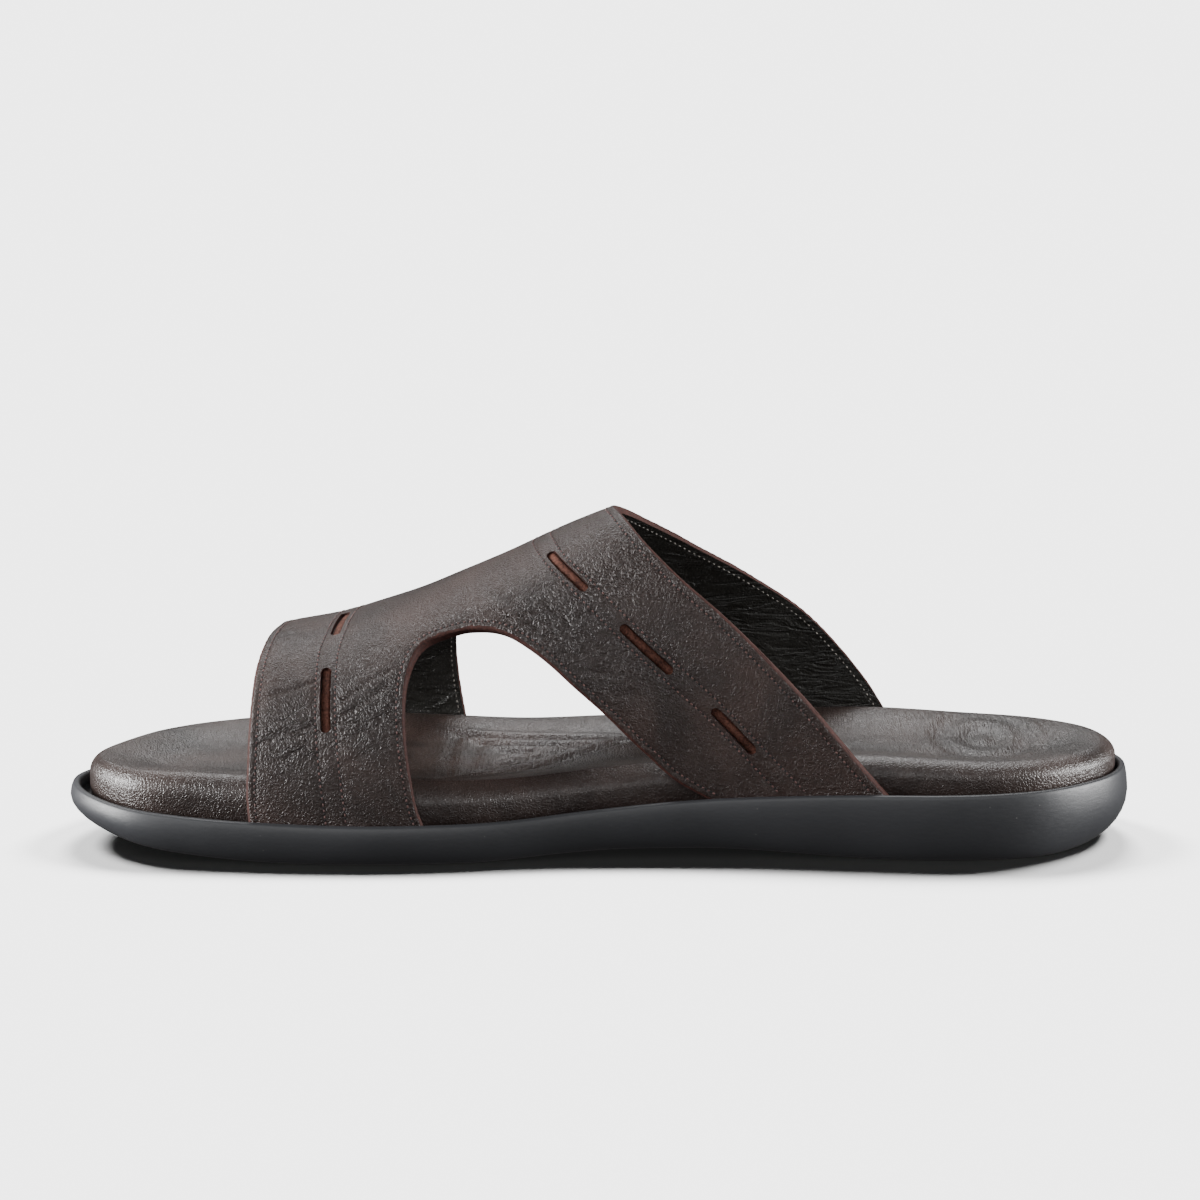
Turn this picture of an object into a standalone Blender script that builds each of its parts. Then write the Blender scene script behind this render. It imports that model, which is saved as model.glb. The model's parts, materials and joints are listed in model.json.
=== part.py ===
"""Right-foot leather slide sandal, standing empty on its sole.

Frame: metres, +Z up, X along the sandal with the toe towards -X and the heel towards +X.
-Y is the big-toe (medial) side and +Y the little-toe (lateral) side.
The origin is the bottom centre of the sandal's bounding box, on the floor.
"""

import math

import bmesh
import bpy
import numpy as np

mm = 0.001

# Driving sizes of the sole
LENGTH = 285.0 * mm
BALL_WIDTH = 102.0 * mm
TOE_SPRING = 6.5 * mm
WAIST_LIFT = 2.0 * mm
HEEL_BEVEL = 1.2 * mm
EDGE_UNDERCUT = 3.5 * mm
TREAD_BORDER = 6.0 * mm
END_UNDERCUT = 10.0 * mm
RIM_LEAN = 0.9 * mm
RIM_WALL = 1.8 * mm
RIM_CROWN = 0.35 * mm
CUP_DEPTH = 5.0 * mm

# Driving sizes of the footbed
BED_FOOT = 1.2 * mm
BED_CREST = 5.5 * mm
BED_TOE_CREST = 3.2 * mm
BED_HEEL_CREST = 4.6 * mm
MEDIAL_DROP = 1.2 * mm
BED_DISH = 3.0 * mm
DISH_REACH = 20.0 * mm
BED_TOE_GAP = 2.6 * mm
BED_HEEL_GAP = 0.8 * mm
BED_STRAP_GAP = 0.75 * mm

# Driving sizes of the upper
WALL = 2.6 * mm
MEDIAL_ROUNDNESS = 2.45
LATERAL_ROUNDNESS = 2.40
INSTEP_ROUNDNESS = 2.05
CREST_SHIFT = -3.0 * mm

# Clearance between pieces that meet, and between the curved foot of the upper and the cup
GAP = 0.3 * mm
STRAP_GAP = 0.45 * mm

# Plan outline of the sole: (share of LENGTH from the toe, medial and lateral shares of half BALL_WIDTH)
OUTLINE = (
    (0.00, 0.294, -0.294),
    (0.02, 0.618, 0.069),
    (0.06, 0.814, 0.412),
    (0.13, 0.922, 0.739),
    (0.21, 0.980, 0.947),
    (0.29, 1.000, 1.000),
    (0.38, 0.957, 0.918),
    (0.47, 0.853, 0.790),
    (0.58, 0.800, 0.686),
    (0.70, 0.847, 0.637),
    (0.82, 0.906, 0.588),
    (0.91, 0.830, 0.461),
    (0.97, 0.598, 0.216),
    (1.00, 0.186, -0.186),
)

# Side view: (share of LENGTH from the toe, height of the sole's rim, footbed crest above the rim)
RIM_HEIGHT = 17.8 * mm
BED_RISE = 10.5 * mm
SIDE_VIEW = (
    (0.00, 0.865, 0.68),
    (0.04, 0.775, 0.80),
    (0.10, 0.690, 0.93),
    (0.20, 0.615, 1.00),
    (0.33, 0.590, 1.00),
    (0.42, 0.620, 0.98),
    (0.50, 0.730, 0.97),
    (0.58, 0.840, 0.96),
    (0.65, 0.910, 0.95),
    (0.76, 0.980, 0.92),
    (0.86, 1.000, 0.78),
    (1.00, 1.050, 0.70),
)

# Height of the upper's ridge: (share of LENGTH from the toe, share of INSTEP_HEIGHT)
INSTEP_HEIGHT = 88.0 * mm
RIDGE = (
    (0.14, 0.577),
    (0.20, 0.618),
    (0.26, 0.654),
    (0.31, 0.703),
    (0.38, 0.798),
    (0.45, 0.908),
    (0.51, 0.996),
    (0.60, 1.095),
    (0.72, 1.190),
    (0.85, 1.240),
)


def smooth_curve(xs, ys, x, periodic=None):
    """Cubic through the points (xs, ys) with slopes taken from their neighbours."""
    xs, ys = np.asarray(xs, float), np.asarray(ys, float)
    if periodic:
        xs = np.concatenate([xs[-2:] - periodic, xs, xs[:2] + periodic])
        ys = np.concatenate([ys[-2:], ys, ys[:2]])
    slope = np.gradient(ys, xs)
    x = np.clip(np.asarray(x, float), xs[0], xs[-1])
    i = np.clip(np.searchsorted(xs, x) - 1, 0, len(xs) - 2)
    h = xs[i + 1] - xs[i]
    t = (x - xs[i]) / h
    return (
        ys[i] * (1 + 2 * t) * (1 - t) ** 2
        + slope[i] * h * t * (1 - t) ** 2
        + ys[i + 1] * t * t * (3 - 2 * t)
        + slope[i + 1] * h * t * t * (t - 1)
    )


def column(table, i):
    return np.array([row[i] for row in table], float)


def share(x):
    """Share of the length from the toe at x."""
    return np.asarray(x) / LENGTH + 0.5


def smoothstep(a, b, x):
    t = np.clip((np.asarray(x, float) - a) / (b - a), 0, 1)
    return t * t * (3 - 2 * t)


def outline(turn):
    """Point of the sole's plan outline at angle turn: 0 is the toe, pi the heel, the medial side between."""
    angle = np.arccos(1 - 2 * column(OUTLINE, 0))
    medial, lateral = -column(OUTLINE, 1), column(OUTLINE, 2)
    turns = np.concatenate([angle, 2 * math.pi - angle[-2:0:-1]])
    sides = np.concatenate([medial, lateral[-2:0:-1]])
    y = smooth_curve(turns, sides, np.mod(turn, 2 * math.pi), periodic=2 * math.pi)
    return np.stack([-LENGTH / 2 * np.cos(turn), y * BALL_WIDTH / 2], axis=-1)


def inset_outline(turn, inset):
    """Outline moved inwards by inset, which may differ from point to point."""
    small = 1e-3
    ahead, behind = outline(turn + small), outline(turn - small)
    along = ahead - behind
    along /= np.linalg.norm(along, axis=-1, keepdims=True)
    inward = np.stack([-along[..., 1], along[..., 0]], axis=-1)
    return outline(turn) + inward * np.asarray(inset)[..., None]


def rim_z(x, y=0.0):
    return RIM_HEIGHT * smooth_curve(column(SIDE_VIEW, 0), column(SIDE_VIEW, 1), share(x))


def crest_z(x, y=0.0):
    """Height of the footbed's raised edge, a little lower on the medial side of the waist and heel."""
    inwards = np.asarray(y) * 2 / BALL_WIDTH
    drop = MEDIAL_DROP * smoothstep(0.25, 0.45, share(x)) * smoothstep(0.1, -0.5, inwards)
    return rim_z(x) + BED_RISE * smooth_curve(column(SIDE_VIEW, 0), column(SIDE_VIEW, 2), share(x)) - drop


def crest_inset(x):
    """How far the crest stands inside the footbed's side."""
    return np.interp(share(x), (0.0, 0.18, 0.85, 1.0), (BED_TOE_CREST, BED_CREST, BED_CREST, BED_HEEL_CREST))


def floor_z(x, y=0.0):
    """Height of the floor of the sole's cup."""
    return rim_z(x) - CUP_DEPTH


def bottom_z(x, y=0.0):
    """Height of the sole's underside: flat at the forefoot and heel, lifted at toe, waist and heel end."""
    s = share(x)
    toe = TOE_SPRING * np.clip((0.26 - s) / 0.26, 0, 1) ** 2.2
    waist = WAIST_LIFT * smoothstep(0.37, 0.53, s) * (1 - smoothstep(0.60, 0.78, s))
    heel = HEEL_BEVEL * np.clip((s - 0.93) / 0.07, 0, 1) ** 1.5
    return toe + waist + heel


EDGE_TURNS = np.linspace(0, 2 * math.pi, 721)


def edge_y(x, inset, lateral):
    """Y of the outline inset by a fixed distance, at x, on one side."""
    ring = inset_outline(EDGE_TURNS, np.full(len(EDGE_TURNS), float(inset)))
    half = ring[361:][::-1] if lateral else ring[:361]
    return np.interp(x, half[:, 0], half[:, 1])


STRAP_INSET = RIM_LEAN + RIM_WALL + STRAP_GAP + WALL / 2
SECTION_ANGLES = np.linspace(0, math.pi, 241)


def section(x):
    """The last's cross-section at x: the middle of the upper's wall, medial base to lateral base."""
    base = float(floor_z(x)) + GAP
    medial = edge_y(x, STRAP_INSET, False)
    lateral = edge_y(x, STRAP_INSET, True)
    ridge_y = (medial + lateral) / 2 + CREST_SHIFT
    height = INSTEP_HEIGHT * smooth_curve(column(RIDGE, 0), column(RIDGE, 1), share(x)) - WALL / 2 - base
    cosine, sine = np.cos(SECTION_ANGLES), np.sin(SECTION_ANGLES)
    lateral_roundness = np.interp(share(x), (0.36, 0.535), (LATERAL_ROUNDNESS, INSTEP_ROUNDNESS))
    roundness = np.where(cosine > 0, MEDIAL_ROUNDNESS, lateral_roundness)
    reach = np.where(cosine > 0, medial - ridge_y, lateral - ridge_y)
    y = ridge_y + reach * np.abs(cosine) ** (2 / roundness)
    z = base + height * np.abs(sine) ** (2 / roundness)
    return np.stack([y, z], axis=-1)


SECTION_STEP = LENGTH / 190
_sections = {}


def section_point(x, around):
    """Point of the upper's mid-surface at x, a share around of the way from the medial to the lateral base.

    A share below 0 or above 1 goes straight down from the base.
    """
    inside = min(max(around, 0.0), 1.0)
    low = math.floor(x / SECTION_STEP)
    found = []
    for k in (low, low + 1):
        if k not in _sections:
            points = section(k * SECTION_STEP)
            steps = np.linalg.norm(np.diff(points, axis=0), axis=1)
            run = np.concatenate([[0], np.cumsum(steps)])
            _sections[k] = (run, points)
        run, points = _sections[k]
        below = abs(around - inside) * run[-1]
        at = inside * run[-1]
        found.append([np.interp(at, run, points[:, 0]), np.interp(at, run, points[:, 1]) - below])
    t = x / SECTION_STEP - low
    y, z = (1 - t) * np.array(found[0]) + t * np.array(found[1])
    return np.array([x, y, z])


# Straps, by share around the section from the medial base: x as shares of LENGTH for the front edge,
# the front lace line, the back lace line and the back edge
STRAPS = (
    (0.00, -0.323, -0.242, 0.197, 0.281),
    (0.05, -0.326, -0.245, 0.164, 0.248),
    (0.09, -0.327, -0.248, 0.139, 0.224),
    (0.14, -0.326, -0.251, 0.108, 0.195),
    (0.20, -0.325, -0.2535, 0.068, 0.158),
    (0.27, -0.323, -0.2540, 0.025, 0.114),
    (0.34, -0.320, -0.2525, -0.012, 0.069),
    (0.41, -0.315, -0.247, -0.042, 0.035),
    (0.46, -0.312, -0.244, -0.051, 0.021),
    (0.50, -0.309, -0.241, -0.053, 0.016),
    (0.54, -0.305, -0.238, -0.049, 0.019),
    (0.60, -0.302, -0.234, -0.030, 0.042),
    (0.67, -0.296, -0.229, 0.003, 0.088),
    (0.74, -0.291, -0.224, 0.054, 0.146),
    (0.80, -0.288, -0.219, 0.098, 0.196),
    (0.86, -0.285, -0.214, 0.138, 0.234),
    (0.91, -0.283, -0.210, 0.170, 0.261),
    (0.95, -0.281, -0.207, 0.196, 0.279),
    (1.00, -0.280, -0.204, 0.228, 0.302),
)

# Side cut-out, by share of its height: x of its front and back edges as shares of LENGTH
CUTOUT_TOP = 0.328
CUTOUT_LATERAL_SHIFT = 11.5 * mm
CUTOUT = (
    (0.00, -0.1605, 0.127),
    (0.07, -0.1630, 0.101),
    (0.14, -0.1680, 0.076),
    (0.29, -0.1740, 0.0420),
    (0.48, -0.1790, 0.0050),
    (0.62, -0.1805, -0.0230),
    (0.75, -0.1795, -0.0470),
    (0.86, -0.1750, -0.0700),
    (0.925, -0.1700, -0.0860),
    (0.965, -0.1635, -0.1010),
    (0.99, -0.1530, -0.1170),
    (1.00, -0.1300, -0.1300),
)

# Lace bands: width of the strip, of its tunnel and of the slots that show it
STRIP_WIDTH = 3.6 * mm
STRIP_THICKNESS = 0.6 * mm
TUNNEL_SIDE_GAP = 0.4 * mm
TUNNEL_THICKNESS = 1.2 * mm
SLOT_WIDTH = 2.8 * mm
FRONT_SLOTS = ((0.185, 0.305), (0.395, 0.520), (0.690, 0.810))
BACK_SLOTS = ((0.082, 0.146), (0.202, 0.280), (0.340, 0.424), (0.576, 0.660), (0.720, 0.798), (0.854, 0.918))

# Tread grooves across the underside
GROOVE_WIDTH = 2.5 * mm
GROOVE_DEPTH = 1.6 * mm
GROOVE_MARGIN = 8.0 * mm
GROOVE_TAPER = 0.4 * mm
FOREFOOT_GROOVES = tuple(LENGTH * (-0.3228 + 0.0316 * k) for k in range(9))
HEEL_GROOVES = tuple(LENGTH * (0.2386 + 0.0316 * k) for k in range(6))

COLOURS = {
    "outsole": ((0.020, 0.021, 0.022), 0.45),
    "footbed": ((0.075, 0.045, 0.036), 0.5),
    "upper": ((0.055, 0.034, 0.028), 0.45),
    "front_lace_strip": ((0.20, 0.075, 0.045), 0.7),
    "back_lace_strip": ((0.20, 0.075, 0.045), 0.7),
}


def make_object(name, points, faces):
    mesh = bpy.data.meshes.new(name)
    mesh.from_pydata([tuple(p) for p in points], [], faces)
    shape = bmesh.new()
    shape.from_mesh(mesh)
    bmesh.ops.remove_doubles(shape, verts=shape.verts, dist=1e-6)
    bmesh.ops.recalc_face_normals(shape, faces=shape.faces)
    if shape.calc_volume(signed=True) < 0:
        bmesh.ops.reverse_faces(shape, faces=shape.faces)
    shape.to_mesh(mesh)
    shape.free()
    made = bpy.data.objects.new(name, mesh)
    bpy.context.scene.collection.objects.link(made)
    return made


def paint(made):
    colour, roughness = COLOURS[made.name]
    material = bpy.data.materials.new(made.name)
    material.use_nodes = True
    surface = material.node_tree.nodes["Principled BSDF"]
    surface.inputs["Base Color"].default_value = (*colour, 1)
    surface.inputs["Roughness"].default_value = roughness
    made.data.materials.clear()
    made.data.materials.append(material)
    made.select_set(False)


def cut(made, cutter):
    """Take the cutter out of the object and keep the cutter as a hidden wire helper."""
    modifier = made.modifiers.new("cut_" + cutter.name, "BOOLEAN")
    modifier.operation = "DIFFERENCE"
    modifier.solver = "EXACT"
    modifier.use_self = True
    modifier.object = cutter
    cutter.hide_render = True
    cutter.display_type = "WIRE"


# Rings round the outline, then a ladder of rungs between its two sides to close each end

RING_COUNT = 84
TURNS = np.arange(RING_COUNT) * 2 * math.pi / RING_COUNT


def ring(inset, height):
    """Ring of points round the outline: inset and height may be numbers, arrays or functions of x."""
    x = outline(TURNS)[:, 0]
    inset = inset(x) if callable(inset) else np.full(RING_COUNT, inset)
    plan = inset_outline(TURNS, inset)
    return np.column_stack([plan, height(plan[:, 0], plan[:, 1])])


def loft(points, faces, rings):
    """Add the rings and the bands of faces between them; return the index of each ring's first point."""
    starts = []
    for one in rings:
        starts.append(len(points))
        points.extend(one)
    for a, b in zip(starts, starts[1:]):
        for i in range(RING_COUNT):
            j = (i + 1) % RING_COUNT
            faces.append((a + i, a + j, b + j, b + i))
    return starts


def ladder(points, faces, start, across, height):
    """Close the ring that begins at start with rungs between its two sides, each with inner points."""
    half = RING_COUNT // 2
    rungs = []
    for i in range(1, half):
        medial, lateral = np.array(points[start + i]), np.array(points[start + RING_COUNT - i])
        rung = [start + i]
        for k in range(1, across):
            p = medial + (lateral - medial) * k / across
            p[2] = height(p[0], p[1])
            rung.append(len(points))
            points.append(p)
        rung.append(start + RING_COUNT - i)
        rungs.append(rung)
    for a, b in zip(rungs, rungs[1:]):
        for k in range(across):
            faces.append((a[k], b[k], b[k + 1], a[k + 1]))
    for end, rung in ((start, rungs[0]), (start + half, rungs[-1])):
        for k in range(across):
            faces.append((end, rung[k], rung[k + 1]))


def undercut(x):
    """How far the underside's edge stands inside the widest line: more at the toe and heel ends."""
    end = np.clip((np.abs(x) * 2 / LENGTH - 0.80) / 0.20, 0, 1) ** 1.6
    return EDGE_UNDERCUT + (END_UNDERCUT - EDGE_UNDERCUT) * end


def tread_border(x):
    """Width of the flat border round the tread: it narrows towards the toe and heel ends."""
    return TREAD_BORDER * np.interp(np.abs(x) * 2 / LENGTH, (0.7, 1.0), (1.0, 0.25))


def build_outsole():
    def between(low, high, t):
        return lambda x, y: low(x) + (high(x) - low(x)) * t

    def widest_z(x, y=0.0):
        return bottom_z(x) + (rim_z(x) - bottom_z(x)) * 0.62

    wall = []
    for degrees in (0, 12, 26, 42, 60, 80):
        c, s = math.cos(math.radians(degrees)), math.sin(math.radians(degrees))
        wall.append(ring(lambda x, s=s: undercut(x) * (1 - s), between(bottom_z, widest_z, 1 - c)))
    rings = [
        ring(lambda x: undercut(x) + tread_border(x), bottom_z),
        *wall,
        ring(0.0, widest_z),
        ring(RIM_LEAN * 0.35, between(widest_z, rim_z, 0.6)),
        ring(RIM_LEAN, rim_z),
        ring(RIM_LEAN + RIM_WALL * 0.5, lambda x, y: rim_z(x) + RIM_CROWN),
        ring(RIM_LEAN + RIM_WALL, rim_z),
        ring(RIM_LEAN + RIM_WALL, floor_z),
    ]
    points, faces = [], []
    starts = loft(points, faces, rings)
    ladder(points, faces, starts[0], 4, bottom_z)
    ladder(points, faces, starts[-1], 4, floor_z)
    outsole = make_object("outsole", points, faces)
    points, faces = [], []
    for x in FOREFOOT_GROOVES + HEEL_GROOVES:
        start = len(points)
        sides = [edge_y(x, undercut(x) + GROOVE_MARGIN, side) for side in (False, True)]
        for z, narrow in ((-GROOVE_DEPTH, 0.0), (GROOVE_DEPTH + bottom_z(x), GROOVE_TAPER)):
            for y in sides:
                for dx in (-1, 1):
                    points.append((x + dx * (GROOVE_WIDTH / 2 - narrow), y, z))
        for quad in ((0, 1, 3, 2), (4, 6, 7, 5), (0, 4, 5, 1), (2, 3, 7, 6), (0, 2, 6, 4), (1, 5, 7, 3)):
            faces.append(tuple(start + k for k in quad))
    cut(outsole, make_object("tread_grooves", points, faces))
    return outsole


def bed_gap(x):
    """Gap between the cup's wall and the footbed's side: the strap tucks in along the middle."""
    strap = STRAP_GAP + WALL + BED_STRAP_GAP
    shares = (0.0, 0.05, 0.12, 0.80, 0.90, 1.0)
    gaps = (BED_TOE_GAP, BED_TOE_GAP, strap, strap, (strap + BED_HEEL_GAP) / 2, BED_HEEL_GAP)
    return np.interp(share(x), shares, gaps)


def bed_inset(x):
    return RIM_LEAN + RIM_WALL + bed_gap(x)


def bed_top(x, y, depth):
    """Height of the footbed's top surface at x, y, a given distance inside its crest."""
    return crest_z(x, y) - BED_DISH * smoothstep(0, DISH_REACH, depth)


def build_footbed():
    def low(lift):
        return lambda x, y: floor_z(x) + GAP + lift

    rings = [
        ring(lambda x: bed_inset(x) + BED_FOOT, low(0.0)),
        ring(lambda x: bed_inset(x) + BED_FOOT / 6, low(BED_FOOT)),
        ring(bed_inset, rim_z),
    ]
    shoulder = 0.42
    for degrees in (0, 22, 44, 66, 90):
        c, s = math.cos(math.radians(degrees)), math.sin(math.radians(degrees))
        rings.append(
            ring(
                lambda x, c=c: bed_inset(x) + crest_inset(x) * (1 - c),
                lambda x, y, s=s: rim_z(x) + (crest_z(x, y) - rim_z(x)) * (shoulder + (1 - shoulder) * s),
            )
        )
    for depth in (0.1 * DISH_REACH, 0.25 * DISH_REACH, 0.45 * DISH_REACH, 0.7 * DISH_REACH):
        rings.append(
            ring(
                lambda x, d=depth: bed_inset(x) + crest_inset(x) + d,
                lambda x, y, d=depth: bed_top(x, y, d),
            )
        )
    points, faces = [], []
    starts = loft(points, faces, rings)
    ladder(points, faces, starts[0], 2, low(0.0))
    around = outline(EDGE_TURNS)[:, 0]
    crest = inset_outline(EDGE_TURNS, bed_inset(around) + crest_inset(around))

    def top(x, y):
        return bed_top(x, y, np.hypot(crest[:, 0] - x, crest[:, 1] - y).min())

    ladder(points, faces, starts[-1], 4, top)
    return make_object("footbed", points, faces)


# Upper: rows run around the section, columns from the front edge to the back edge

CUT_ROWS = 13
BRIDGE_ROWS = 14


def row_shares():
    rising = [CUTOUT_TOP * math.sin(math.pi / 2 * i / CUT_ROWS) for i in range(CUT_ROWS + 1)]
    bridge = [CUTOUT_TOP + (1 - 2 * CUTOUT_TOP) * i / BRIDGE_ROWS for i in range(1, BRIDGE_ROWS)]
    return rising + bridge + [1 - a for a in reversed(rising)]


def strap_x(around, i):
    """x of one line of the STRAPS table, at a share around."""
    return LENGTH * smooth_curve(column(STRAPS, 0), column(STRAPS, i), around)


def cutout_x(around, i):
    """x of the front (1) or back (2) edge of the side cut-outs, or of the joint above them."""
    shift = CUTOUT_LATERAL_SHIFT * smoothstep(CUTOUT_TOP, 1 - CUTOUT_TOP, around)
    height = min(around, 1 - around) / CUTOUT_TOP
    if height >= 1:
        return CUTOUT[-1][1] * LENGTH + shift
    turn = np.arcsin(column(CUTOUT, 0))
    return LENGTH * smooth_curve(turn, column(CUTOUT, i), math.asin(height)) + shift


def wall_normal(x, around):
    """Outward normal of the upper's mid-surface."""
    step, turn = LENGTH / 140, 0.01
    low, high = max(around - turn, 0), min(around + turn, 1)
    along = section_point(x + step, around) - section_point(x - step, around)
    up = section_point(x, high) - section_point(x, low)
    normal = np.cross(along, up)
    return normal / np.linalg.norm(normal)


FRONT_COLUMNS = (4, 4)
BACK_COLUMNS = (6, 4)


def build_upper():
    rows = row_shares()
    points, faces, seen = [], [], {}

    def vertex(x, around):
        key = (round(float(x), 7), round(around, 6))
        if key not in seen:
            seen[key] = len(points)
            points.append((x, around))
        return seen[key]

    def grid(stations):
        lines = []
        for around in rows:
            xs = stations(around)
            lines.append([vertex(x, around) for x in xs])
        for a, b in zip(lines, lines[1:]):
            for k in range(len(a) - 1):
                quad = (a[k], a[k + 1], b[k + 1], b[k])
                faces.append(tuple(dict.fromkeys(quad)))

    def spread(knots, counts):
        xs = [knots[0]]
        for low, high, count in zip(knots, knots[1:], counts):
            xs += [low + (high - low) * k / count for k in range(1, count + 1)]
        return xs

    grid(lambda a: spread((strap_x(a, 1), strap_x(a, 2), cutout_x(a, 1)), FRONT_COLUMNS))
    grid(lambda a: spread((cutout_x(a, 2), strap_x(a, 3), strap_x(a, 4)), BACK_COLUMNS))

    middle = [section_point(x, a) for x, a in points]
    normals = [wall_normal(x, a) for x, a in points]
    count = len(points)
    solid_points = [p + n * WALL / 2 for p, n in zip(middle, normals)]
    solid_points += [p - n * WALL / 2 for p, n in zip(middle, normals)]
    solid_faces = list(faces) + [tuple(count + k for k in reversed(f)) for f in faces]
    edges = {}
    for face in faces:
        for a, b in zip(face, face[1:] + face[:1]):
            edges.setdefault(frozenset((a, b)), []).append((a, b))
    for sides in edges.values():
        if len(sides) == 1:
            a, b = sides[0]
            solid_faces.append((b, a, a + count, b + count))
    upper = make_object("upper", solid_points, solid_faces)
    return upper


def band(line, arounds, half_widths, low, high):
    """Solid that follows a lace line: its sides half_widths either way, from low to high off the mid-surface."""
    middle = [section_point(strap_x(a, line), a) for a in arounds]
    normals = [wall_normal(strap_x(a, line), a) for a in arounds]
    points, faces = [], []
    for i, (p, n, half) in enumerate(zip(middle, normals, half_widths)):
        along = middle[min(i + 1, len(middle) - 1)] - middle[max(i - 1, 0)]
        side = np.cross(n, along)
        side /= np.linalg.norm(side)
        points += [p - side * half + n * low, p + side * half + n * low]
        points += [p + side * half + n * high, p - side * half + n * high]
    last = len(middle) - 1
    for i in range(last):
        for k in range(4):
            a, b = 4 * i + k, 4 * i + (k + 1) % 4
            faces.append((a, b, b + 4, a + 4))
    faces += [(0, 3, 2, 1), tuple(4 * last + k for k in range(4))]
    return points, faces


def with_rows(low, high):
    """The shares of the upper's rows between two shares, with both ends."""
    return [low] + [a for a in row_shares() if low + 0.004 < a < high - 0.004] + [high]


def lace_cutter(name, line, slots):
    """Tunnel through the wall for one strip, and the slots that open it to the outside."""
    arounds = [-0.004] + row_shares()[1:-1] + [1.004]
    half = STRIP_WIDTH / 2 + TUNNEL_SIDE_GAP
    points, faces = band(line, arounds, [half] * len(arounds), -TUNNEL_THICKNESS / 2, TUNNEL_THICKNESS / 2)
    for low, high in slots:
        x, middle = strap_x((low + high) / 2, line), (low + high) / 2
        run = np.linalg.norm(section_point(x, high) - section_point(x, low))
        tip = (high - low) * SLOT_WIDTH / 2 / run
        ends = [(low, 0.25), (low + tip * 0.3, 0.72), (low + tip, 1.0)]
        inner = [(a, 1.0) for a in with_rows(low + tip, high - tip)[1:-1]]
        ends_high = [(high - tip, 1.0), (high - tip * 0.3, 0.72), (high, 0.25)]
        stations = ends + inner + ends_high
        more_points, more_faces = band(
            line, [a for a, _ in stations], [SLOT_WIDTH / 2 * w for _, w in stations], 0.1 * mm, WALL
        )
        faces += [tuple(k + len(points) for k in face) for face in more_faces]
        points += more_points
    return make_object(name + "_cutter", points, faces)


def lace_strip(name, line):
    arounds = row_shares()[1:-1]
    half = [STRIP_WIDTH / 2] * len(arounds)
    return make_object(name, *band(line, arounds, half, -STRIP_THICKNESS / 2, STRIP_THICKNESS / 2))


def main():
    for old in list(bpy.data.objects):
        bpy.data.objects.remove(old)
    made = [build_outsole(), build_footbed(), build_upper()]
    upper = made[-1]
    for line, name, slots in ((2, "front_lace", FRONT_SLOTS), (3, "back_lace", BACK_SLOTS)):
        cut(upper, lace_cutter(name, line, slots))
        made.append(lace_strip(name + "_strip", line))
    for piece in made:
        paint(piece)


main()
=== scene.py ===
# %% [markdown]
# # A right-foot leather slide sandal
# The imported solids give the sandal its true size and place. Here each of them gets the surface that the
# eye meets: grained leather with sewn edges, a padded footbed with its pressed relief, and a moulded sole.
# All lengths are in metres. The toe points to -X, the heel to +X, and -Y is the big-toe side.

import json
import math

import bmesh
import bpy
import numpy as np
from mathutils import Matrix, Vector, kdtree, noise

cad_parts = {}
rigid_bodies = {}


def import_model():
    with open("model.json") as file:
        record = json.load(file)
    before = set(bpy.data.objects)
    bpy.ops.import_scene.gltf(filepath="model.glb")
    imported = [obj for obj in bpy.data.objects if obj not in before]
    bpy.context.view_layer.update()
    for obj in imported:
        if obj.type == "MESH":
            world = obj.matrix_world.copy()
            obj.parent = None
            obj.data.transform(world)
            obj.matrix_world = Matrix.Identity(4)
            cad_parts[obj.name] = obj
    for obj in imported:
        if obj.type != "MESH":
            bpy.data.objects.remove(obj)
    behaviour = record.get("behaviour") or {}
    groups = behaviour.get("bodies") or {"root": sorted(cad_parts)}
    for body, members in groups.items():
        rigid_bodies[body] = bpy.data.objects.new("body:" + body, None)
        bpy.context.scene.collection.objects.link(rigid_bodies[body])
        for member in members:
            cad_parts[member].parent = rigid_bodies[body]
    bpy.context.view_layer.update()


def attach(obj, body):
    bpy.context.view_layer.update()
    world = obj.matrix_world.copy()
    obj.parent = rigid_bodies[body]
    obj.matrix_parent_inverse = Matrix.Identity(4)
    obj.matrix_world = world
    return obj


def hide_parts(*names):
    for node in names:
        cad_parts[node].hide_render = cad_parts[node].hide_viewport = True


for leftover in list(bpy.data.objects):
    bpy.data.objects.remove(leftover)
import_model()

mm = 0.001

# %% [markdown]
# ## The camera
# The sandal is photographed from its big-toe side, from a little above and from well away, so lines along
# it stay almost parallel. A long lens 1.4 m off gives that; it looks 12 degrees down at mid height.

# %% Camera
VIEW_DOWN = math.radians(12.0)
VIEW_DISTANCE = 1.4
VIEW_TARGET = Vector((0.0, 0.0, 0.0613))
SENSOR_MM, LENS_MM = 36.0, 155.4

camera = bpy.data.objects.new("camera", bpy.data.cameras.new("camera"))
bpy.context.scene.collection.objects.link(camera)
camera.location = VIEW_TARGET + VIEW_DISTANCE * Vector((0, -math.cos(VIEW_DOWN), math.sin(VIEW_DOWN)))
camera.rotation_euler = (VIEW_TARGET - camera.location).to_track_quat("-Z", "Y").to_euler()
camera.data.sensor_width, camera.data.lens = SENSOR_MM, LENS_MM
bpy.context.scene.camera = camera
print("camera at", tuple(round(v, 3) for v in camera.location))

# %% [markdown]
# ## The last and the lines of the sandal
# A shoemaker starts from an outline, a side view and cross-sections. These are the same named sizes and
# tables that the solids were drawn from, so every surface below lies on its solid. Sculpting over the solids
# by eye would also do, but then a seam or a rim could drift off the piece that carries it.

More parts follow.
